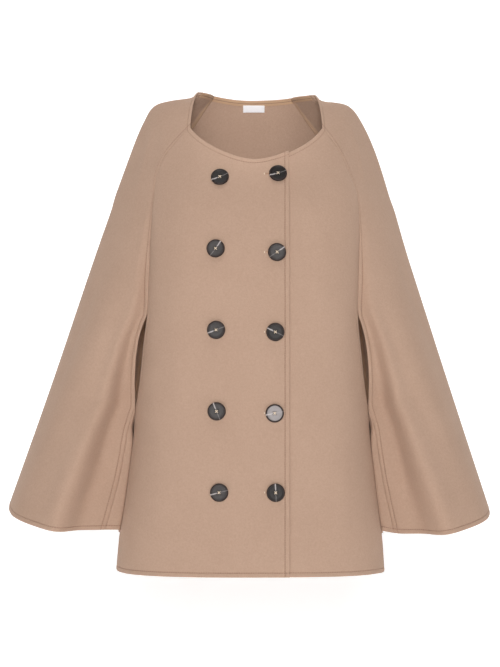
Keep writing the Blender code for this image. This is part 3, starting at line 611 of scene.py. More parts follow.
# %% Lean of the whole coat
def leaned(points):
    """The whole coat hangs a little to one side: a sideways shift that changes with the height, one for the
    body and one for the outer line, and small drops of the left sleeve and the left side of the neck."""
    x, y, z = np.moveaxis(points, -1, 0)
    below = ramp(-z, *SHIFT_CHANGE_HEIGHTS)
    changes = zip(SHIFT_CHANGE_ABOVE, SHIFT_CHANGE_BELOW)
    away = ramp(np.abs(x), *(above + (under - above) * below for above, under in changes))
    body_shift = curve(LEAN, "body_shift", z) - BACK_LEAN_CUT * ramp(y, *CUT_FROM_Y) * ramp(z, *CUT_FROM_Z)
    moved = points.copy()
    moved[..., 0] += body_shift * (1 - away) + curve(LEAN, "outer_shift", z) * away
    moved[..., 2] -= LEFT_SLEEVE_DROP * ramp(x, *SLEEVE_DROP_X) * ramp(-z, *SLEEVE_DROP_DEPTH)
    neck_side = ramp(x, *NECK_DROP_GROWS_X) * ramp(-x, *NECK_DROP_FADES_X)
    moved[..., 2] -= LEFT_NECK_DROP * neck_side * ramp(z, *NECK_DROP_Z)
    return moved


# %% [markdown]
# ## From a surface to a sheet of cloth
# Thick wool shows its wall at every edge: the edge is turned in and felled by hand, so it is round, and a
# fine line of stitches runs 7 mm inside it. A sewn seam is a shallow groove with the same line on one side.
# The grid of each panel is close near its edges, so that the mesh itself can carry these lines.

# %% Grid of a panel
NEAR_EDGE_MM = [0, 0.12, 0.35, 0.7, 1.1, 1.6, 2.5, 3.8, 5.0, 5.9, 6.4, 6.8, 7.1, 7.4, 7.8, 8.3, 9.2]
NEAR_EDGE = np.array(NEAR_EDGE_MM) / 1000
SEWN_LINE = 0.0071
DENSE_SAMPLES = 321
LEAST_ROW_STEP = 0.0001


def run_along(points, axis):
    """Distance run along one direction of a grid: the running sum of its steps."""
    step = np.linalg.norm(np.diff(points, axis=axis), axis=-1)
    start = np.zeros_like(np.take(step, [0], axis=axis))
    return np.concatenate([start, np.cumsum(step, axis=axis)], axis=axis)


def columns_of(surface, rows, count):
    """Parameter u of every column in every row: at fixed distances near both edges and evenly between, found
    by running along each row."""
    dense = (1 - np.cos(np.linspace(0, math.pi, DENSE_SAMPLES))) / 2
    run = run_along(surface(*np.broadcast_arrays(dense[None], rows[:, None])), 1)
    total = run[:, -1:]
    even = np.linspace(0, 1, count + 2)[1:-1]
    middle = NEAR_EDGE[-1] + (total - 2 * NEAR_EDGE[-1]) * even
    near = np.broadcast_to(NEAR_EDGE, (len(rows), len(NEAR_EDGE)))
    wanted = np.concatenate([near, middle, total - near[:, ::-1]], axis=1)
    return np.stack([np.interp(w, r, dense) for w, r in zip(wanted, run)]), wanted, total


def rows_of(first, last, count, extra=(), top_stretch=1.0, bottom_stretch=1.0):
    """Row heights from the top edge to the hem: close near both, evenly between, and extra ones where asked.
    A stretch is how much faster the cloth runs there than its row's height."""
    top = first - NEAR_EDGE / top_stretch
    bottom = last + NEAR_EDGE[::-1] / bottom_stretch
    even = np.linspace(top[-1], bottom[0], count + 2)[1:-1]
    found = np.sort(np.concatenate([top, even, bottom, np.asarray(extra, float)]))[::-1]
    return found[np.concatenate([[True], np.diff(found) < -LEAST_ROW_STEP])]


# %% Edges, sewn lines and inner strips
FREE_REACH, FREE_SHARE = 0.0014, 0.97
SEAM_REACH, SEAM_SHARE = 0.0022, 0.90
LINE_DEPTH, LINE_WIDTH = 0.00050, 0.00070
EDGE_PUFF = 0.00016
STRIP_RISE = 0.0010
STRIP_EDGES = (0.0002, 0.0012, 0.0105, 0.0122)


def edge_closing(distance, free):
    """Share of the wall lost near an edge: one less a quarter ellipse, nearly all of it on a free edge."""
    reach = SEAM_REACH + (FREE_REACH - SEAM_REACH) * free
    share = SEAM_SHARE + (FREE_SHARE - SEAM_SHARE) * free
    u = np.clip(distance / reach, 0, 1)
    return share * (1 - np.sqrt(1 - (1 - u) ** 2))


def line_relief(distance):
    """Dip of the sewn line, a bell curve, with a low swell between it and the edge, a half sine."""
    dip = -LINE_DEPTH * bell(distance - SEWN_LINE, LINE_WIDTH)
    return dip + EDGE_PUFF * np.sin(math.pi * np.clip(distance / SEWN_LINE, 0, 1))


def strip_relief(distance):
    """Felled seam allowance on the inner face: a low step up at the seam and down again past the line."""
    a, b, c, d = STRIP_EDGES
    return STRIP_RISE * ramp(distance, a, b) * (1 - ramp(distance, c, d))


# %% A sheet of cloth on a surface
WALL_BLEND = 0.006
FREE_EDGE = {"free": 1.0, "line": 1.0}


def closed_sheet(name, outer, inner, material):
    """Closed mesh between two grids of points: both faces and the rim between their edges."""
    index = np.arange(outer[..., 0].size).reshape(outer.shape[:2])
    cells = grid_faces(index)
    rim = np.concatenate([index[0, :-1], index[:-1, -1], index[-1, :0:-1], index[:0:-1, 0]])
    following = np.roll(rim, -1)
    sides = np.stack([following, rim, rim + index.size, following + index.size], axis=-1)
    points = np.concatenate([outer.reshape(-1, 3), inner.reshape(-1, 3)])
    return mesh_object(name, points, np.concatenate([cells, cells[:, ::-1] + index.size, sides]), material)


def give_map(made, name, u, v):
    """UV map with one pair of values a grid point. Values for one face serve the inner face as well."""
    corner = np.empty(len(made.data.loops), np.int32)
    made.data.loops.foreach_get("vertex_index", corner)
    faces = len(made.data.vertices) // u.size
    both = np.stack([np.tile(u.ravel(), faces), np.tile(v.ravel(), faces)], axis=-1)
    made.data.uv_layers.new(name=name).data.foreach_set("uv", both[corner].astype(np.float32).ravel())


def stand_for(made, node):
    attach(made, "root")
    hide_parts(node)


def share_of(edge, key, rows):
    """What an edge has in every row, 0 where it isn't stated, as a column."""
    return np.broadcast_to(edge.get(key, 0.0), len(rows))[:, None]


def off_line(places, rows):
    """Distance off the nearer of two sewn lines, and 1 m more where there is none."""
    return np.minimum(*(np.abs(d - SEWN_LINE) + (1 - share_of(edge, "line", rows)) for d, edge in places))


def cloth(name, surface, normal, rows, count, near, far, mirror, material, crease=None, lift=None):
    """One panel. near and far are its side edges, each a dictionary of what each row has there: free, line
    and strip (0 to 1), and wall, the wall vector that it shares with its neighbour. Its top and bottom edges
    are free. The middle of the wall is the surface less half a wall, and both faces stand off it by what is
    left of the half wall and by their own relief."""
    u, from_near, total = columns_of(surface, rows, count)
    grid_rows = np.broadcast_to(rows[:, None], u.shape)
    points = surface(u, grid_rows)
    normals = normal(u, grid_rows, points)
    down = run_along(points, 0)
    sides = (from_near, near), (total - from_near, far)
    ends = (down, FREE_EDGE), (down[-1:] - down, FREE_EDGE)
    walls = -normals * WALL
    left, line, strip = np.ones(u.shape), np.zeros(u.shape), np.zeros(u.shape)
    for distance, edge in sides + ends:
        if "wall" in edge:
            walls = walls + (edge["wall"][:, None] - walls) * (1 - ramp(distance, 0, WALL_BLEND))[..., None]
        left = left * (1 - edge_closing(distance, share_of(edge, "free", rows)))
        line += line_relief(distance) * share_of(edge, "line", rows)
        strip += strip_relief(distance) * share_of(edge, "strip", rows)
    flip = np.array([mirror, 1, 1])
    moved = points
    if lift is not None:
        moved = moved + normals * lift(points)[..., None]
    if crease is not None:
        moved = moved + normals * crease(points * flip)[..., None]
    half = walls / 2 * left[..., None]
    outer = leaned((moved + walls / 2 - half + normals * line[..., None]) * flip)
    inner = leaned((moved + walls / 2 + half - normals * (line + strip)[..., None]) * flip)
    made = closed_sheet(name, outer, inner, material)
    across_line, down_line = off_line(sides, rows), off_line(ends, rows)
    give_map(made, "cloth", from_near, down)
    give_map(
        made, "sewing", np.minimum(across_line, down_line), np.where(across_line < down_line, down, from_near)
    )
    # the strip's share, a UV map by which the wool's colour is painted lighter: painted light on the felled
    # strips
    felled = np.stack([np.zeros(u.shape), strip / STRIP_RISE])
    give_map(made, "felled", felled, felled)
    stand_for(made, name)
    step_across, step_down = np.diff(points, axis=1)[:-1], np.diff(points, axis=0)[:, :-1]
    return {"points": moved, "walls": walls, "u": u, "flip": flip}


# %% [markdown]
# ## Finishes
# The cloth is camel wool, double-faced and lightly milled. Its fibres hide the weave, so it shows only faint
# mottling, a short nap that catches light at the edges of forms, and the line of hand stitches, darkened with
# painted shade. Its felled strips are painted lighter, which is painted light. The buttons are dark horn with
# a paler dish, cut from plate, so each has one pale vein at its own angle.


# %% Steps that the finishes share
def value_of(tree, operation, *values):
    """One step of arithmetic as a node: its result's socket."""
    inputs = {f"i{number}": value for number, value in enumerate(values)}
    return add(tree, "ShaderNodeMath", {"operation": operation}, **inputs).outputs[0]


def scaled(tree, value, share):
    return value_of(tree, "MULTIPLY", value, share)


def bell_of(tree, value, width):
    """Bell curve of a value over a width, as nodes: e to the power of less the square of their share."""
    squared = value_of(tree, "POWER", value_of(tree, "DIVIDE", value, width), 2.0)
    return value_of(tree, "POWER", 2.718, scaled(tree, squared, -1.0))


def step_of(tree, value, start, end):
    """Smooth step of a value between two limits, as a node."""
    settings = {"interpolation_type": "SMOOTHSTEP"}
    return add(tree, "ShaderNodeMapRange", settings, Value=value, From_Min=start, From_Max=end).outputs[0]


def noise(tree, scale, detail, roughness):
    """Soft noise over the object's own coordinates."""
    place = add(tree, "ShaderNodeTexCoord").outputs["Object"]
    values = {"Vector": place, "Scale": scale, "Detail": detail, "Roughness": roughness}
    return add(tree, "ShaderNodeTexNoise", **values).outputs[0]


def map_values(tree, name):
    """The two values of a UV map."""
    uv = add(tree, "ShaderNodeUVMap", {"uv_map": name}).outputs[0]
    return add(tree, "ShaderNodeSeparateXYZ", Vector=uv).outputs[:2]


def mixed_colour(tree, share, first, second, blend="MIX"):
    settings = {"data_type": "RGBA", "blend_type": blend}
    return add(tree, "ShaderNodeMix", settings, i0=share, i6=first, i7=second).outputs[2]


def plain_finish(name, colour, roughness, sheen=0.0):
    """A plain dyed or polished finish with one colour."""
    return new_material(name, Base_Color=linear(colour), Roughness=roughness, Sheen_Weight=sheen)[0]


# %% Wool
STITCH_PITCH, STITCH_WIDTH = 0.0036, 0.0007
WOOL_MIDDLE, WOOL_PALE, WOOL_DEEP = "b49682", "b99b87", "af917d"
# the first colour here is painted light, the lighter tone painted on the felled strips
# the second colour here is painted shade, which darkens the dips of the sewn lines
STRIP_PAINTED_LIGHT, DIP_PAINTED_SHADE, NAP_TINT = "c4a388", "a58a78", "f0dccb"
# the last value here is the strength of the painted shade in the sewn lines' dips
FIBRE_IN_DYE, SOFT_IN_DYE, DYE_SHARE, PICK_PAINTED_SHADE_STRENGTH = 0.9, 0.4, 0.4348, 0.60
FIBRE_IN_NAP, PICK_IN_NAP, NAP_STRENGTH, NAP_HEIGHT = 0.7, 1.2, 0.35, 0.0009


def double_faced_wool():
    """Camel double-faced wool, milled and brushed. Large soft mottling of the dye, fine fibre noise, and
    along each sewn line short dips where the pick stitches pull the cloth in, bumped and darkened with
    painted shade. The felled strips on the inner face are painted lighter, which is painted light."""
    made, tree, shader = new_material(
        "camel double-faced wool",
        Roughness=0.92, Specular_IOR_Level=0.2,
        Sheen_Weight=0.18, Sheen_Roughness=0.6, Sheen_Tint=linear(NAP_TINT),
    )
    blotch, fibre = noise(tree, 340.0, 3.0, 0.6), noise(tree, 1500.0, 2.0, 0.7)
    soft = noise(tree, 14.0, 2.0, 0.5)
    shade = value_of(tree, "ADD", blotch, scaled(tree, fibre, FIBRE_IN_DYE))
    shade = value_of(tree, "ADD", shade, scaled(tree, soft, SOFT_IN_DYE))
    dye = add(tree, "ShaderNodeValToRGB", Fac=scaled(tree, shade, DYE_SHARE))
    stops = dye.color_ramp.elements
    stops[0].position, stops[0].color = 0.38, linear(WOOL_DEEP)
    stops[1].position, stops[1].color = 0.62, linear(WOOL_PALE)
    stops.new(0.5).color = linear(WOOL_MIDDLE)
    distance, run = map_values(tree, "sewing")
    phase = value_of(tree, "FRACT", value_of(tree, "DIVIDE", run, STITCH_PITCH))
    pick = value_of(tree, "COMPARE", phase, 0.2, 0.16)
    near_line = bell_of(tree, distance, STITCH_WIDTH)
    dip = value_of(tree, "MULTIPLY", near_line, value_of(tree, "MULTIPLY_ADD", pick, 0.5, 0.5))
    # painted shade: the wool is darkened along every sewn line, most at each pick stitch
    painted_dip_shade = scaled(tree, dip, PICK_PAINTED_SHADE_STRENGTH)
    with_painted_dip_shade = mixed_colour(tree, painted_dip_shade, dye.outputs[0], linear(DIP_PAINTED_SHADE), "MULTIPLY")
    # painted light: the felled strips on the inner face are painted a lighter tone
    colour = mixed_colour(tree, map_values(tree, "felled")[0], with_painted_dip_shade, linear(STRIP_PAINTED_LIGHT))
    tree.links.new(colour, shader.inputs["Base Color"])
    nap = value_of(tree, "ADD", blotch, scaled(tree, fibre, FIBRE_IN_NAP))
    height = value_of(tree, "SUBTRACT", nap, scaled(tree, dip, PICK_IN_NAP))
    bump = add(tree, "ShaderNodeBump", Strength=NAP_STRENGTH, Distance=NAP_HEIGHT, Height=height)
    tree.links.new(bump.outputs[0], shader.inputs["Normal"])
    return made


wool = double_faced_wool()

# %% [markdown]
# ## Fronts and back
# The fronts lap over each other by 12 cm. The upper one steps over the lower one across the chest, so the lap
# shows as a soft ridge and not a hard edge. Creases are drawn one by one, each a soft swell or dip of its
# own.

# %% Creases of the body
# columns: height at the top, height at the bottom, x at the top, x at the bottom, half-width, rise or dip
FRONT_CREASES = [
    (-0.13, -0.3, 0.066, 0.12, 0.016, 0.0013),
    (-0.215, -0.44, 0.118, 0.1, 0.018, 0.0015),
    (-0.175, -0.42, 0.09, 0.126, 0.012, -0.0008),
    (-0.14, -0.33, -0.12, -0.098, 0.018, 0.0012),
    (-0.29, -0.56, -0.128, -0.108, 0.016, 0.0014),
    (-0.2, -0.52, -0.085, -0.075, 0.014, -0.0008),
    (-0.2, -0.48, 0.0, 0.006, 0.022, -0.0007),
    (-0.5, -0.735, 0.132, 0.15, 0.02, 0.002),
    (-0.56, -0.745, 0.09, 0.098, 0.017, -0.0013),
    (-0.52, -0.74, -0.14, -0.152, 0.018, 0.0018),
    (-0.585, -0.748, -0.096, -0.1, 0.015, -0.0012),
    (-0.56, -0.745, 0.01, 0.002, 0.03, 0.0008),
]
BACK_CREASES = [
    (-0.06, -0.33, 0.03, 0.046, 0.022, 0.0014),
    (-0.09, -0.4, -0.048, -0.06, 0.018, 0.0018),
    (-0.15, -0.62, -0.005, -0.014, 0.02, -0.0016),
    (-0.19, -0.52, 0.105, 0.088, 0.016, 0.0021),
    (-0.23, -0.61, -0.112, -0.1, 0.019, -0.0014),
    (-0.42, -0.74, 0.064, 0.08, 0.022, 0.0024),
    (-0.48, -0.745, -0.05, -0.058, 0.024, 0.0022),
    (-0.54, -0.742, 0.012, 0.02, 0.016, -0.0016),
    (-0.5, -0.738, -0.138, -0.15, 0.017, 0.0019),
    (-0.56, -0.744, 0.14, 0.152, 0.015, -0.0015),
]
CREASE_FADE = (0.70, 0.90)


def body_creases(rows):
    """Rise of the creases at points of the body, faded towards the armholes and the side seams."""

    def rise(points):
        x, z = points[..., 0], points[..., 2]
        return crease_rise(rows, x, z) * (1 - ramp(np.abs(x) / half_width(z), *CREASE_FADE))

    return rise


# %% Walls that two panels share on a seam
SEAM_START = 0.012


def shared_wall(normal, neighbour):
    """Wall vector on a seam: along the two normals' bisector, and long enough to keep the wall."""
    middle = unit(normal + neighbour)
    along = np.clip((middle * normal).sum(axis=-1, keepdims=True), SHALLOWEST_CORNER, 1)
    return -middle * WALL / along


def mixed(walls, shared, share):
    return walls + (shared - walls) * share[:, None]


def attached_share(rows, end):
    """0 where an edge is free and 1 where it is sewn, above the height end."""
    return ramp(rows, end, end + SEAM_START)


def plain_sleeve_normal(side, z_rows):
    base = sleeve_surface(side, [], [])
    return sleeve_normal(base, side, np.zeros(len(z_rows)), z_rows)


def armhole_wall(side, heights, sleeve_rows):
    """Wall shared by the body and the sleeve at these heights of the armhole edge."""
    body = ring_normal(on_armhole(heights, side), side)
    return shared_wall(body, plain_sleeve_normal(side, sleeve_rows))


# %% Rows and columns of the panels
FRONT_COLUMNS, BACK_COLUMNS, SLEEVE_COLUMNS, UNDER_COLUMNS = 62, 104, 52, 30
HEIGHT_GRID = np.linspace(SLEEVE_HEM, NECK_CORNER_HEIGHT, 4001)
BACK_SEAM_GRID = curve(SLEEVE_SECTIONS, "back_seam_height", HEIGHT_GRID)
ROUND_BOTTOM = ARMHOLE_CORNER + (ARMHOLE_BOTTOM - ARMHOLE_CORNER) * np.sin(np.linspace(0, math.pi / 2, 9))
BODY_HEM = HEM_HEIGHT - HEM_DIP_AT_SIDES
front_rows = rows_of(NECK_CORNER_HEIGHT, BODY_HEM, 140, ROUND_BOTTOM)
back_rows = rows_of(BACK_NECK_CORNER_HEIGHT, BODY_HEM, 150, ROUND_BOTTOM)
sleeve_rows = rows_of(NECK_CORNER_HEIGHT, SLEEVE_HEM, 140, top_stretch=1.5, bottom_stretch=1.1)
under_rows = rows_of(ARMHOLE_CORNER, SLEEVE_HEM, 40)


# %% Fronts and back
def body_edge(side, rows):
    """What a body panel's armhole and side edge has, row by row."""
    end = SLIT_TOP if side == FRONT else ARMHOLE_CORNER
    sewn = attached_share(rows, end)
    sleeve_at = rows if side == FRONT else np.interp(rows, BACK_SEAM_GRID, HEIGHT_GRID)
    own = -ring_normal(on_armhole(rows, side), side) * WALL
    shared = armhole_wall(side, rows, np.maximum(sleeve_at, SLEEVE_HEM))
    seamed_below = ramp(-rows, -ARMHOLE_BOTTOM, -ARMHOLE_BOTTOM + SEAM_START / 2)
    line = (1 - sewn) * (1 - seamed_below) if side == FRONT else np.where(rows < ARMHOLE_CORNER, 1.0, 0.0)
    return {"free": 1 - np.maximum(sewn, seamed_below), "line": line, "wall": mixed(own, shared, sewn)}


front_creases, back_creases = body_creases(FRONT_CREASES), body_creases(BACK_CREASES)
made = {}
for front_name, mirror in (("left_front", 1), ("right_front", -1)):

    def lap_lift(points, mirror=mirror):
        """The upper front rises over the lower one."""
        raised = ramp(-points[..., 0], LAP_RISE_START, LAP_RISE_START + LAP_RISE_LENGTH)
        return (WALL + LAP_GAP) * raised * (mirror < 0)

    made[front_name] = cloth(
        front_name, body_surface(FRONT, mirror), lambda u, row, points: ring_normal(points, FRONT),
        front_rows, FRONT_COLUMNS, FREE_EDGE, body_edge(FRONT, front_rows), mirror, wool,
        front_creases, lap_lift,
    )

back_far = body_edge(BACK, back_rows)
back_near = {**back_far, "wall": back_far["wall"] * np.array([-1, 1, 1])}
made["back"] = cloth(
    "back", body_surface(BACK), lambda u, row, points: ring_normal(points, BACK),
    back_rows, BACK_COLUMNS, back_near, back_far, 1, wool, back_creases,
)

# %% [markdown]
# ## Sleeves
# Each sleeve was cut in two halves, joined over the arm, with a small under-sleeve beside the body. The
# front half's edge is sewn to the armhole down to the arm slit, hangs free along it, and is sewn to the
# under-sleeve below it.

# %% Folds and creases of the sleeves
# folds: start height, place across the panel there, place at the hem, half-width there and at the hem, rise
# creases: start height, end height, place across the panel there, place at the end, half-width, rise or dip
SLEEVE_FOLDS = {
    "right_sleeve_front": [
        (-0.25, 0.13, 0.3, 0.07, 0.12, 0.034),
        (-0.26, 0.45, 0.5, 0.18, 0.25, 0.022),
    ],
    "left_sleeve_front": [
        (-0.25, 0.13, 0.32, 0.07, 0.125, 0.033),
        (-0.26, 0.45, 0.54, 0.18, 0.24, 0.023),
    ],
    "right_sleeve_back": [
        (-0.3, 0.2, 0.34, 0.09, 0.15, 0.018),
        (-0.26, 0.5, 0.58, 0.18, 0.23, 0.015),
    ],
    "left_sleeve_back": [
        (-0.34, 0.22, 0.4, 0.09, 0.16, 0.02),
        (-0.24, 0.5, 0.64, 0.18, 0.2, 0.012),
    ],
}
SLEEVE_CREASES = {
    "right_sleeve_front": [
        (-0.08, -0.3, 0.62, 0.5, 0.1, 0.001),
        (-0.3, -0.56, 0.7, 0.78, 0.07, -0.0012),
        (-0.42, -0.69, 0.36, 0.38, 0.06, 0.0016),
        (-0.18, -0.42, 0.24, 0.22, 0.07, 0.0012),
        (-0.24, -0.88, 0.03, 0.3, 0.095, -0.0165),
        (-0.33, -0.86, 0.34, 0.5, 0.09, 0.003),
    ],
    "left_sleeve_front": [
        (-0.075, -0.26, 0.55, 0.48, 0.1, 0.0012),
        (-0.27, -0.52, 0.74, 0.8, 0.06, -0.0013),
        (-0.45, -0.692, 0.52, 0.55, 0.06, 0.0014),
        (-0.2, -0.44, 0.26, 0.23, 0.08, 0.0013),
        (-0.25, -0.89, 0.03, 0.32, 0.095, -0.016),
        (-0.35, -0.88, 0.36, 0.53, 0.09, 0.0028),
    ],
    "right_sleeve_back": [
        (-0.085, -0.32, 0.55, 0.45, 0.11, 0.0014),
        (-0.26, -0.6, 0.78, 0.8, 0.06, 0.0018),
        (-0.38, -0.69, 0.42, 0.46, 0.06, -0.0019),
    ],
    "left_sleeve_back": [
        (-0.08, -0.28, 0.6, 0.52, 0.1, 0.0016),
        (-0.3, -0.64, 0.72, 0.76, 0.06, -0.0018),
        (-0.36, -0.68, 0.48, 0.5, 0.07, 0.002),
    ],
}


def sleeve_edge(side, rows):
    """What a sleeve half's body-side edge has, row by row."""
    end = SLIT_TOP if side == FRONT else ARMHOLE_CORNER
    sewn = attached_share(rows, end)
    heights = rows if side == FRONT else curve(SLEEVE_SECTIONS, "back_seam_height", rows)
    plain = plain_sleeve_normal(side, rows)
    shared = armhole_wall(side, np.maximum(heights, end), np.maximum(rows, end))
    w = np.full(len(rows), (side + 1) / 2)
    lower = np.minimum(rows, ARMHOLE_CORNER)
    with_under = shared_wall(plain, under_sleeve_normal(w, lower))
    below = ramp(-rows, -ARMHOLE_CORNER, -ARMHOLE_CORNER + SEAM_START)
    wall = mixed(mixed(-plain * WALL, shared, sewn), with_under, below)
    return {"free": 1 - np.maximum(sewn, below), "line": 1.0, "strip": sewn * (side == BACK), "wall": wall}


def overarm_edge(surface, side, rows):
    """What a sleeve half's outer edge has: a seam with its mirror half, sewn down on the back half."""
    normal = sleeve_normal(surface, side, np.ones(len(rows)), rows)
    wall = shared_wall(normal, normal * np.array([1, -1, 1]))
    return {"free": 0.0, "line": 1.0 if side == BACK else 0.0, "wall": wall}


# %% Sleeve panels
for sleeve_name in SLEEVE_FOLDS:
    side = FRONT if sleeve_name.endswith("front") else BACK
    mirror = -1 if sleeve_name.startswith("right") else 1
    surface = sleeve_surface(side, SLEEVE_FOLDS[sleeve_name], SLEEVE_CREASES[sleeve_name])
    made[sleeve_name] = cloth(
        sleeve_name, surface,
        lambda u, row, points, surface=surface, side=side: sleeve_normal(surface, side, u, row),
        sleeve_rows, SLEEVE_COLUMNS, sleeve_edge(side, sleeve_rows), overarm_edge(surface, side, sleeve_rows),
        mirror, wool,
    )


# %% Under-sleeves
def under_edge(side, rows):
    """Seam of the under-sleeve with one sleeve half."""
    own = under_sleeve_normal(np.full(len(rows), (side + 1) / 2), rows)
    return {"free": 0.0, "wall": shared_wall(own, plain_sleeve_normal(side, rows))}


for under_name, mirror in (("right_under_sleeve", -1), ("left_under_sleeve", 1)):
    made[under_name] = cloth(
        under_name, under_sleeve_surface, lambda u, row, points: under_sleeve_normal(u, row),
        under_rows, UNDER_COLUMNS, under_edge(FRONT, under_rows), under_edge(BACK, under_rows), mirror, wool,
    )


# %% [markdown]
# ## Neck tape, label and sewing thread
# A folded cotton tape, paler than the wool, covers the raw edge of the back neck from one neck point to the
# other. It is stitched down along its middle. The blank satin label lies over its lower edge and is held by
# four stitches at each end.

# %% Plain finishes
cotton_tape = plain_finish("camel cotton twill tape", "bf9b7c", 0.85, 0.1)
satin = plain_finish("white woven satin label", "f6f3f5", 0.55)
cream_thread = plain_finish("cream polyester sewing thread", "dccab3", 0.6)
tape_thread = plain_finish("brown felling thread", "8a6a52", 0.7)
buttonhole_silk = plain_finish("camel buttonhole twist", "b08c72", 0.6)

# %% Neck tape
TAPE_WIDTH, TAPE_THICKNESS, TAPE_GAP = 0.0095, 0.0009, 0.0005
TAPE_END = 0.889
TAPE_ROUNDING = 0.07
TAPE_LINE, TAPE_LINE_WIDTH, TAPE_LINE_DEPTH = 0.52, 0.035, 0.00045
TAPE_EDGE = np.linspace(0, 0.1, 6)[:-1]
TAPE_ACROSS = np.concatenate([TAPE_EDGE, np.linspace(0.1, 0.9, 29), 1 - TAPE_EDGE[::-1]])
TAPE_LEAST = 0.1
COLUMNS_FROM_SEAM, ROWS_BELOW_EDGE = 6, 12


def neck_line(name, first, last):
    """Neck edge on a panel's inner face, the way down the cloth and the way in, at the chosen columns."""
    panel = made[name]
    inner = (panel["points"] + panel["walls"])[:, first:last]
    keep = panel["u"][0, first:last] <= TAPE_END if name != "back" else slice(None)
    lines = np.stack([inner[0], unit(inner[ROWS_BELOW_EDGE] - inner[0]), unit(panel["walls"][0, first:last])])
    return lines[:, keep] * panel["flip"]


tape_lines = [
    neck_line("right_sleeve_back", COLUMNS_FROM_SEAM, None)[:, ::-1],
    neck_line("back", COLUMNS_FROM_SEAM, -COLUMNS_FROM_SEAM),
    neck_line("left_sleeve_back", COLUMNS_FROM_SEAM, None),
]
edge, way_down, way_in = np.concatenate(tape_lines, axis=1)[:, :, None]
across = TAPE_ACROSS[None, :, None]
near_end = np.clip(np.minimum(across, 1 - across) / TAPE_ROUNDING, 0, 1)
thickness = TAPE_THICKNESS * (TAPE_LEAST + (1 - TAPE_LEAST) * np.sqrt(1 - (1 - near_end) ** 2))
groove = TAPE_LINE_DEPTH * bell(across - TAPE_LINE, TAPE_LINE_WIDTH)
tape_base = edge + way_down * TAPE_WIDTH * across
tape_near = leaned(tape_base + way_in * TAPE_GAP)
tape_far = leaned(tape_base + way_in * (TAPE_GAP + thickness - groove))
neck_tape = closed_sheet("neck_facing", tape_near, tape_far, cotton_tape)
stand_for(neck_tape, "neck_facing")
tape_length = round(float(run_along(tape_near[:, 0], 0)[-1].max()), 3)
print("neck tape", tape_length, "m long, triangles", 2 * len(neck_tape.data.polygons))

# %% Label
LABEL_WIDTH, LABEL_CENTRE_X, LABEL_THICKNESS = 0.035, 0.002, 0.0006
LABEL_TOP, LABEL_BOTTOM = -0.0140, -0.0254
LABEL_TOP_GAP, LABEL_BOTTOM_GAP = 0.0020, 0.0008
LABEL_BOW = 0.0004
FOLDED_END, FOLD_STEP, ONE_LAYER = 0.0045, 0.0009, 0.35


def on_back_inside(share, down):
    """Points on the back at shares of the label's width and height, the way inwards, and the gap under it."""
    x = LABEL_CENTRE_X + LABEL_WIDTH * (share - 0.5) + 0 * down
    z = LABEL_TOP + (LABEL_BOTTOM - LABEL_TOP) * down + 0 * share
    base = ring_point(x, z, BACK)
    return base, -ring_normal(base, BACK), LABEL_TOP_GAP + (LABEL_BOTTOM_GAP - LABEL_TOP_GAP) * down


label_share = np.linspace(0, 1, 49)[None, :]
label_down = np.linspace(0, 1, 21)[:, None]
label_base, label_inward, label_gap = on_back_inside(label_share, label_down)
from_end = np.minimum(label_share, 1 - label_share) * LABEL_WIDTH
bow = LABEL_BOW * np.sin(math.pi * label_share) * np.sin(math.pi * label_down)
folded = ONE_LAYER + (1 - ONE_LAYER) * ramp(FOLDED_END - from_end, 0, FOLD_STEP)
label_near = label_base + label_inward * (WALL + label_gap + bow)[..., None]
label_far = label_near + label_inward * (LABEL_THICKNESS * folded + 0 * label_down)[..., None]
label = closed_sheet("label", leaned(label_near), leaned(label_far), satin)
stand_for(label, "label")


# %% Threads
def threads(name, paths, facing, radius, material, sides=8):
    """Several threads in one mesh. Each is a circle swept along its path, narrowed to nothing at both ends.
    Paths run thread by point, and facing is the way that the cloth faces under each point."""
    along = unit(np.gradient(paths, axis=1))
    side = unit(np.cross(facing, along))
    out = np.cross(along, side)
    end = np.linspace(-1, 1, paths.shape[1])[None, :, None, None]
    taper = radius * np.sqrt(np.clip(1.0002 - end**8, 0, 1))
    angle = np.linspace(0, 2 * math.pi, sides, endpoint=False)[None, None, :, None]
    points = paths[:, :, None] + taper * (side[:, :, None] * np.cos(angle) + out[:, :, None] * np.sin(angle))
    index = np.arange(points[..., 0].size).reshape(points.shape[:3])
    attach(mesh_object(name, points.reshape(-1, 3), tube_faces(index), material), "root")


STITCH_DOWN = np.array([[0.12], [0.38], [0.64], [0.88]])
STITCH_PAST_END, STITCH_LENGTH, STITCH_SLANT = 0.0009, 0.0026, 0.05
STITCH_RADIUS, STITCH_CLEAR = 0.00022, 0.00012
TAPE_THREAD_RADIUS, TAPE_THREAD_SUNK = 0.00042, 0.0001
stitch_share = np.linspace(0, 1, 9)[None, :]
from_middle = (LABEL_WIDTH / 2 + STITCH_PAST_END - STITCH_LENGTH * stitch_share) / LABEL_WIDTH
across_label = np.concatenate([0.5 + sign * from_middle + 0 * STITCH_DOWN for sign in (-1, 1)])
down_label = np.concatenate([STITCH_DOWN + STITCH_SLANT * sign * stitch_share for sign in (-1, 1)])
stitch_base, stitch_inward, stitch_gap = on_back_inside(across_label, down_label)
arched = ONE_LAYER + (1 - ONE_LAYER) * np.sin(math.pi * stitch_share) ** 0.5
stitch_height = WALL + (stitch_gap + LABEL_THICKNESS) * arched + STITCH_CLEAR
stitch_paths = leaned(stitch_base + stitch_inward * stitch_height[..., None])
threads("label_stitches", stitch_paths, stitch_inward, STITCH_RADIUS, cream_thread)

tape_line_height = TAPE_GAP + TAPE_THICKNESS - TAPE_THREAD_SUNK
tape_line = leaned(tape_base[:, len(TAPE_ACROSS) // 2] + way_in[:, 0] * tape_line_height)
threads("neck_tape_sewing", tape_line[None], way_in[:, 0][None], TAPE_THREAD_RADIUS, tape_thread)

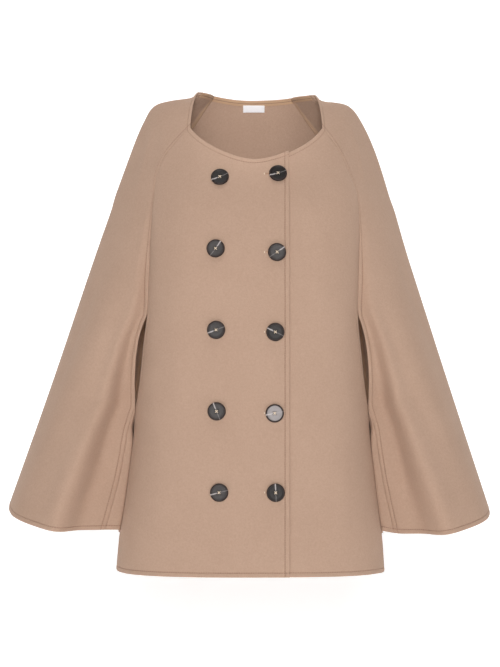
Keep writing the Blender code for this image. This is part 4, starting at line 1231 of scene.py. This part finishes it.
# %% [markdown]
# ## Buttons and buttonholes
# Ten round buttons were turned from dark horn plate: a raised rim, a dished face and four thread holes. Each
# plate was cut across a pale vein, so every button has its own streak. One column is sewn on the upper front.
# The other is sewn on the lower front and comes through worked buttonholes, so a bar of cream thread shows
# beside each of its buttons.

# %% Places on the upper front
# columns: name, x, z, way of the vein's bright end in degrees from the wearer's left, paleness of the plate
BUTTONS = [
    ("button_outer_1", -0.0462, -0.1484, 205, 0.035),
    ("button_outer_2", -0.0521, -0.2586, 55, 0.095),
    ("button_outer_3", -0.0513, -0.3826, 201, 0.085),
    ("button_outer_4", -0.0505, -0.5067, 112, 0.105),
    ("button_outer_5", -0.0467, -0.6302, 195, 0.095),
    ("button_edge_1", 0.0432, -0.1426, 198, 0.0),
    ("button_edge_2", 0.0412, -0.2642, 35, 0.105),
    ("button_edge_3", 0.0385, -0.3858, 154, 0.045),
    ("button_edge_4", 0.0375, -0.5096, 191, 0.62),
    ("button_edge_5", 0.0390, -0.6304, 93, 0.040),
]
BUTTON_GAP = 0.0006


def on_upper_front(x, z, height):
    """Points over the upper front at seen places x and z, that height off its face, and its normals."""
    base = ring_point(x, z, FRONT)
    shift = leaned(base)[..., 0] - base[..., 0]
    base = ring_point(x - shift, z, FRONT)
    normal = ring_normal(base, FRONT)
    off = WALL + LAP_GAP + front_creases(base) + height
    return leaned(base + normal * off[..., None]), normal


# %% Horn
HORN_DARK, HORN_PALE, HORN_RIM, HORN_VEIN = "1b1715", "c2bab9", "2f2522", "d2c9c7"
VEIN_WAVER, VEIN_GROWS_AT, VEIN_FULL_AT, CLOUDING = 0.0016, 0.002, 0.006, 0.05
VEIN_WIDTH, VEIN_WIDENING, VEIN_FAINT, VEIN_BRIGHTENING = 0.0005, 0.0003, 0.26, 0.60
RIM_TONE_FROM, RIM_TONE_FULL = 0.0108, 0.0122


def polished_horn():
    """Dark horn, turned and polished. The face is paler than the rim, and the vein is a narrow bell curve
    across a wavering line, wide and bright from the middle to one side and faint on the other."""
    horn_made, tree, shader = new_material("polished dark horn", Roughness=0.5, Specular_IOR_Level=0.22)
    along_vein, across_vein = map_values(tree, "disc")
    paleness, radius = map_values(tree, "plate")
    cloud = value_of(tree, "SUBTRACT", noise(tree, 260.0, 4.0, 0.6), 0.5)
    wavering = value_of(tree, "ADD", across_vein, scaled(tree, cloud, VEIN_WAVER))
    bright = step_of(tree, along_vein, VEIN_GROWS_AT, VEIN_FULL_AT)
    width = value_of(tree, "MULTIPLY_ADD", bright, VEIN_WIDENING, VEIN_WIDTH)
    strength = value_of(tree, "MULTIPLY_ADD", bright, VEIN_BRIGHTENING, VEIN_FAINT)
    vein = value_of(tree, "MULTIPLY", bell_of(tree, wavering, width), strength)
    shade = value_of(tree, "ADD", paleness, scaled(tree, cloud, CLOUDING))
    face = mixed_colour(tree, shade, linear(HORN_DARK), linear(HORN_PALE))
    rim = step_of(tree, radius, RIM_TONE_FROM, RIM_TONE_FULL)
    rimmed = mixed_colour(tree, rim, face, linear(HORN_RIM))
    veined = mixed_colour(tree, vein, rimmed, linear(HORN_VEIN))
    tree.links.new(veined, shader.inputs["Base Color"])
    return horn_made


horn = polished_horn()

# %% Buttons
BUTTON_ANGLES = 88
HOLE_PLACE, HOLE_RADIUS, HOLE_SOFTNESS, WELL_DEPTH = 0.0021, 0.0010, 0.25, 0.0022
HOLES = np.array([(1, 1), (1, -1), (-1, 1), (-1, -1)]) * HOLE_PLACE
RIM_OUTER, RIM_TOP, RIM_FOOT, BACK_EDGE = 0.0140, 0.0124, 0.0092, 0.0112
DISH, DISH_SAG, RIM_STEP = 0.0030, 0.0002, 0.0012
WAIST, CROWN = 0.0020, 0.0022
PIN_HOLE = 0.00002


def button_profile():
    """Radius and height from the middle of the face to the middle of the back: a shallow dish, a smooth step
    up to the rim, a quarter ellipse over the edge and another one under it."""
    middle, outer = np.linspace(PIN_HOLE, 0.0008, 4), np.linspace(0.0055, RIM_FOOT, 6)
    face = np.concatenate([middle, np.linspace(0.0010, 0.0046, 19), outer])
    rim = np.linspace(RIM_FOOT, RIM_TOP, 9)[1:]
    over, under = np.linspace(0, math.pi / 2, 8)[1:], np.linspace(0, math.pi / 2, 6)[1:]
    top_edge = RIM_TOP + (RIM_OUTER - RIM_TOP) * np.sin(over)
    bottom_edge = BACK_EDGE + (RIM_OUTER - BACK_EDGE) * np.cos(under)
    height = [
        DISH - DISH_SAG * (1 - (face / RIM_FOOT) ** 2),
        DISH + RIM_STEP * ramp(rim, RIM_FOOT, 0.0120),
        WAIST + CROWN * np.cos(over),
        WAIST - WAIST * np.sin(under),
        [0.0, 0.0],
    ]
    radius = np.concatenate([face, rim, top_edge, bottom_edge, [0.006, PIN_HOLE]])
    return radius[:, None], np.concatenate(height)[:, None], (np.arange(len(radius)) < len(face))[:, None]


profile_radius, profile_height, on_face = button_profile()
angle = np.linspace(0, 2 * math.pi, BUTTON_ANGLES, endpoint=False)[None, :]
disc_x, disc_y = profile_radius * np.cos(angle), profile_radius * np.sin(angle)
to_hole = np.hypot(disc_x[..., None] - HOLES[:, 0], disc_y[..., None] - HOLES[:, 1]).min(axis=-1)
well = WELL_DEPTH * (1 - ramp(to_hole, HOLE_RADIUS * (1 - HOLE_SOFTNESS), HOLE_RADIUS * (1 + HOLE_SOFTNESS)))
disc = np.stack([disc_x, disc_y, profile_height - well * on_face], axis=-1).reshape(-1, 3)
disc_faces = tube_faces(np.arange(disc_x.size).reshape(disc_x.shape))

# two crossed stitches of two strands each, from hole to hole over the middle
CROSSED = [(1, 1), (1, -1)]
STRAND_APART, STRAND_RADIUS, STRAND_REACH = 0.00032 * 0.7, 0.00033, HOLE_PLACE * 1.06
STRAND_SUNK, STRAND_RISE, LAYER_RISE = 0.0012, 0.0015, 0.0003
strand = np.linspace(-1, 1, 15)
strands = []
for layer, (x_to, z_to) in enumerate(CROSSED):
    for aside in (-STRAND_APART, STRAND_APART):
        height = DISH - STRAND_SUNK + (STRAND_RISE + LAYER_RISE * layer) * (1 - strand**6)
        run = strand * STRAND_REACH
        strands.append(np.stack([x_to * run + aside, z_to * run - aside * x_to * z_to, height], axis=-1))

for button_name, x, z, vein_angle, paleness in BUTTONS:
    centre, normal = on_upper_front(np.array(x), np.array(z), np.array(BUTTON_GAP))
    side = unit(np.cross([0, 0, 1], normal))
    axes = np.stack([side, np.cross(normal, side), normal])
    button = mesh_object(button_name, centre + disc @ axes, disc_faces, horn)
    vein_turn = math.radians(vein_angle)
    along_vein = disc_x * math.cos(vein_turn) + disc_y * math.sin(vein_turn)
    give_map(button, "disc", along_vein, disc_y * math.cos(vein_turn) - disc_x * math.sin(vein_turn))
    give_map(button, "plate", np.full(disc_x.shape, paleness), profile_radius + 0 * disc_x)
    stand_for(button, button_name)
    paths = centre + np.array(strands) @ axes
    threads(f"{button_name}_thread", paths, normal, STRAND_RADIUS, cream_thread)
print("triangles of one button", 2 * len(disc_faces))

# %% Buttonholes
BUTTONHOLE_FROM, BUTTONHOLE_LENGTH, BUTTONHOLE_RISE = 0.0225, 0.0280, 0.0004
LIP_APART, LIP_RADIUS, LIP_CLEAR = 0.00055, 0.00052, 0.00005
BAR_BEFORE, BAR_HEIGHT, BAR_RADIUS, BAR_CLEAR = 0.0003, 0.0015, 0.00038, 0.00045
BAR_STRANDS = np.array([[-0.0004], [0.0], [0.0004]])

for button_name, x, z, vein_angle, paleness in BUTTONS[5:]:
    number = button_name[-1]
    lip_z = z + BUTTONHOLE_RISE + LIP_APART * np.array([[-1], [1]]) + np.zeros((1, 41))
    lip_x = BUTTONHOLE_FROM + BUTTONHOLE_LENGTH * np.linspace(0, 1, 41)[None, :] + 0 * lip_z
    lips, lip_facing = on_upper_front(lip_x, lip_z, LIP_CLEAR)
    threads(f"buttonhole_{number}", lips, lip_facing, LIP_RADIUS, buttonhole_silk)
    bar_z = z + BUTTONHOLE_RISE + BAR_HEIGHT * np.linspace(-1, 1, 9)[None, :] + 0 * BAR_STRANDS
    bar_x = BUTTONHOLE_FROM - BAR_BEFORE + BAR_STRANDS + 0 * bar_z
    bar, bar_facing = on_upper_front(bar_x, bar_z, BAR_CLEAR)
    threads(f"buttonhole_{number}_bar", bar, bar_facing, BAR_RADIUS, cream_thread)

# %% [markdown]
# ## Size
# The last cell measures the finished coat beside the imported model, keeps both boxes, and prints how far
# the finished coat reaches past the imported model.

# %% Finish
scene_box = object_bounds()
boxes = {
    "cad": [[float(v) for v in corner] for corner in cad_box],
    "visual": [[float(v) for v in corner] for corner in scene_box],
}
past = (np.array(boxes["visual"]) - np.array(boxes["cad"])) * 1000
print("visual less packed, mm:", np.round(past, 1).tolist())
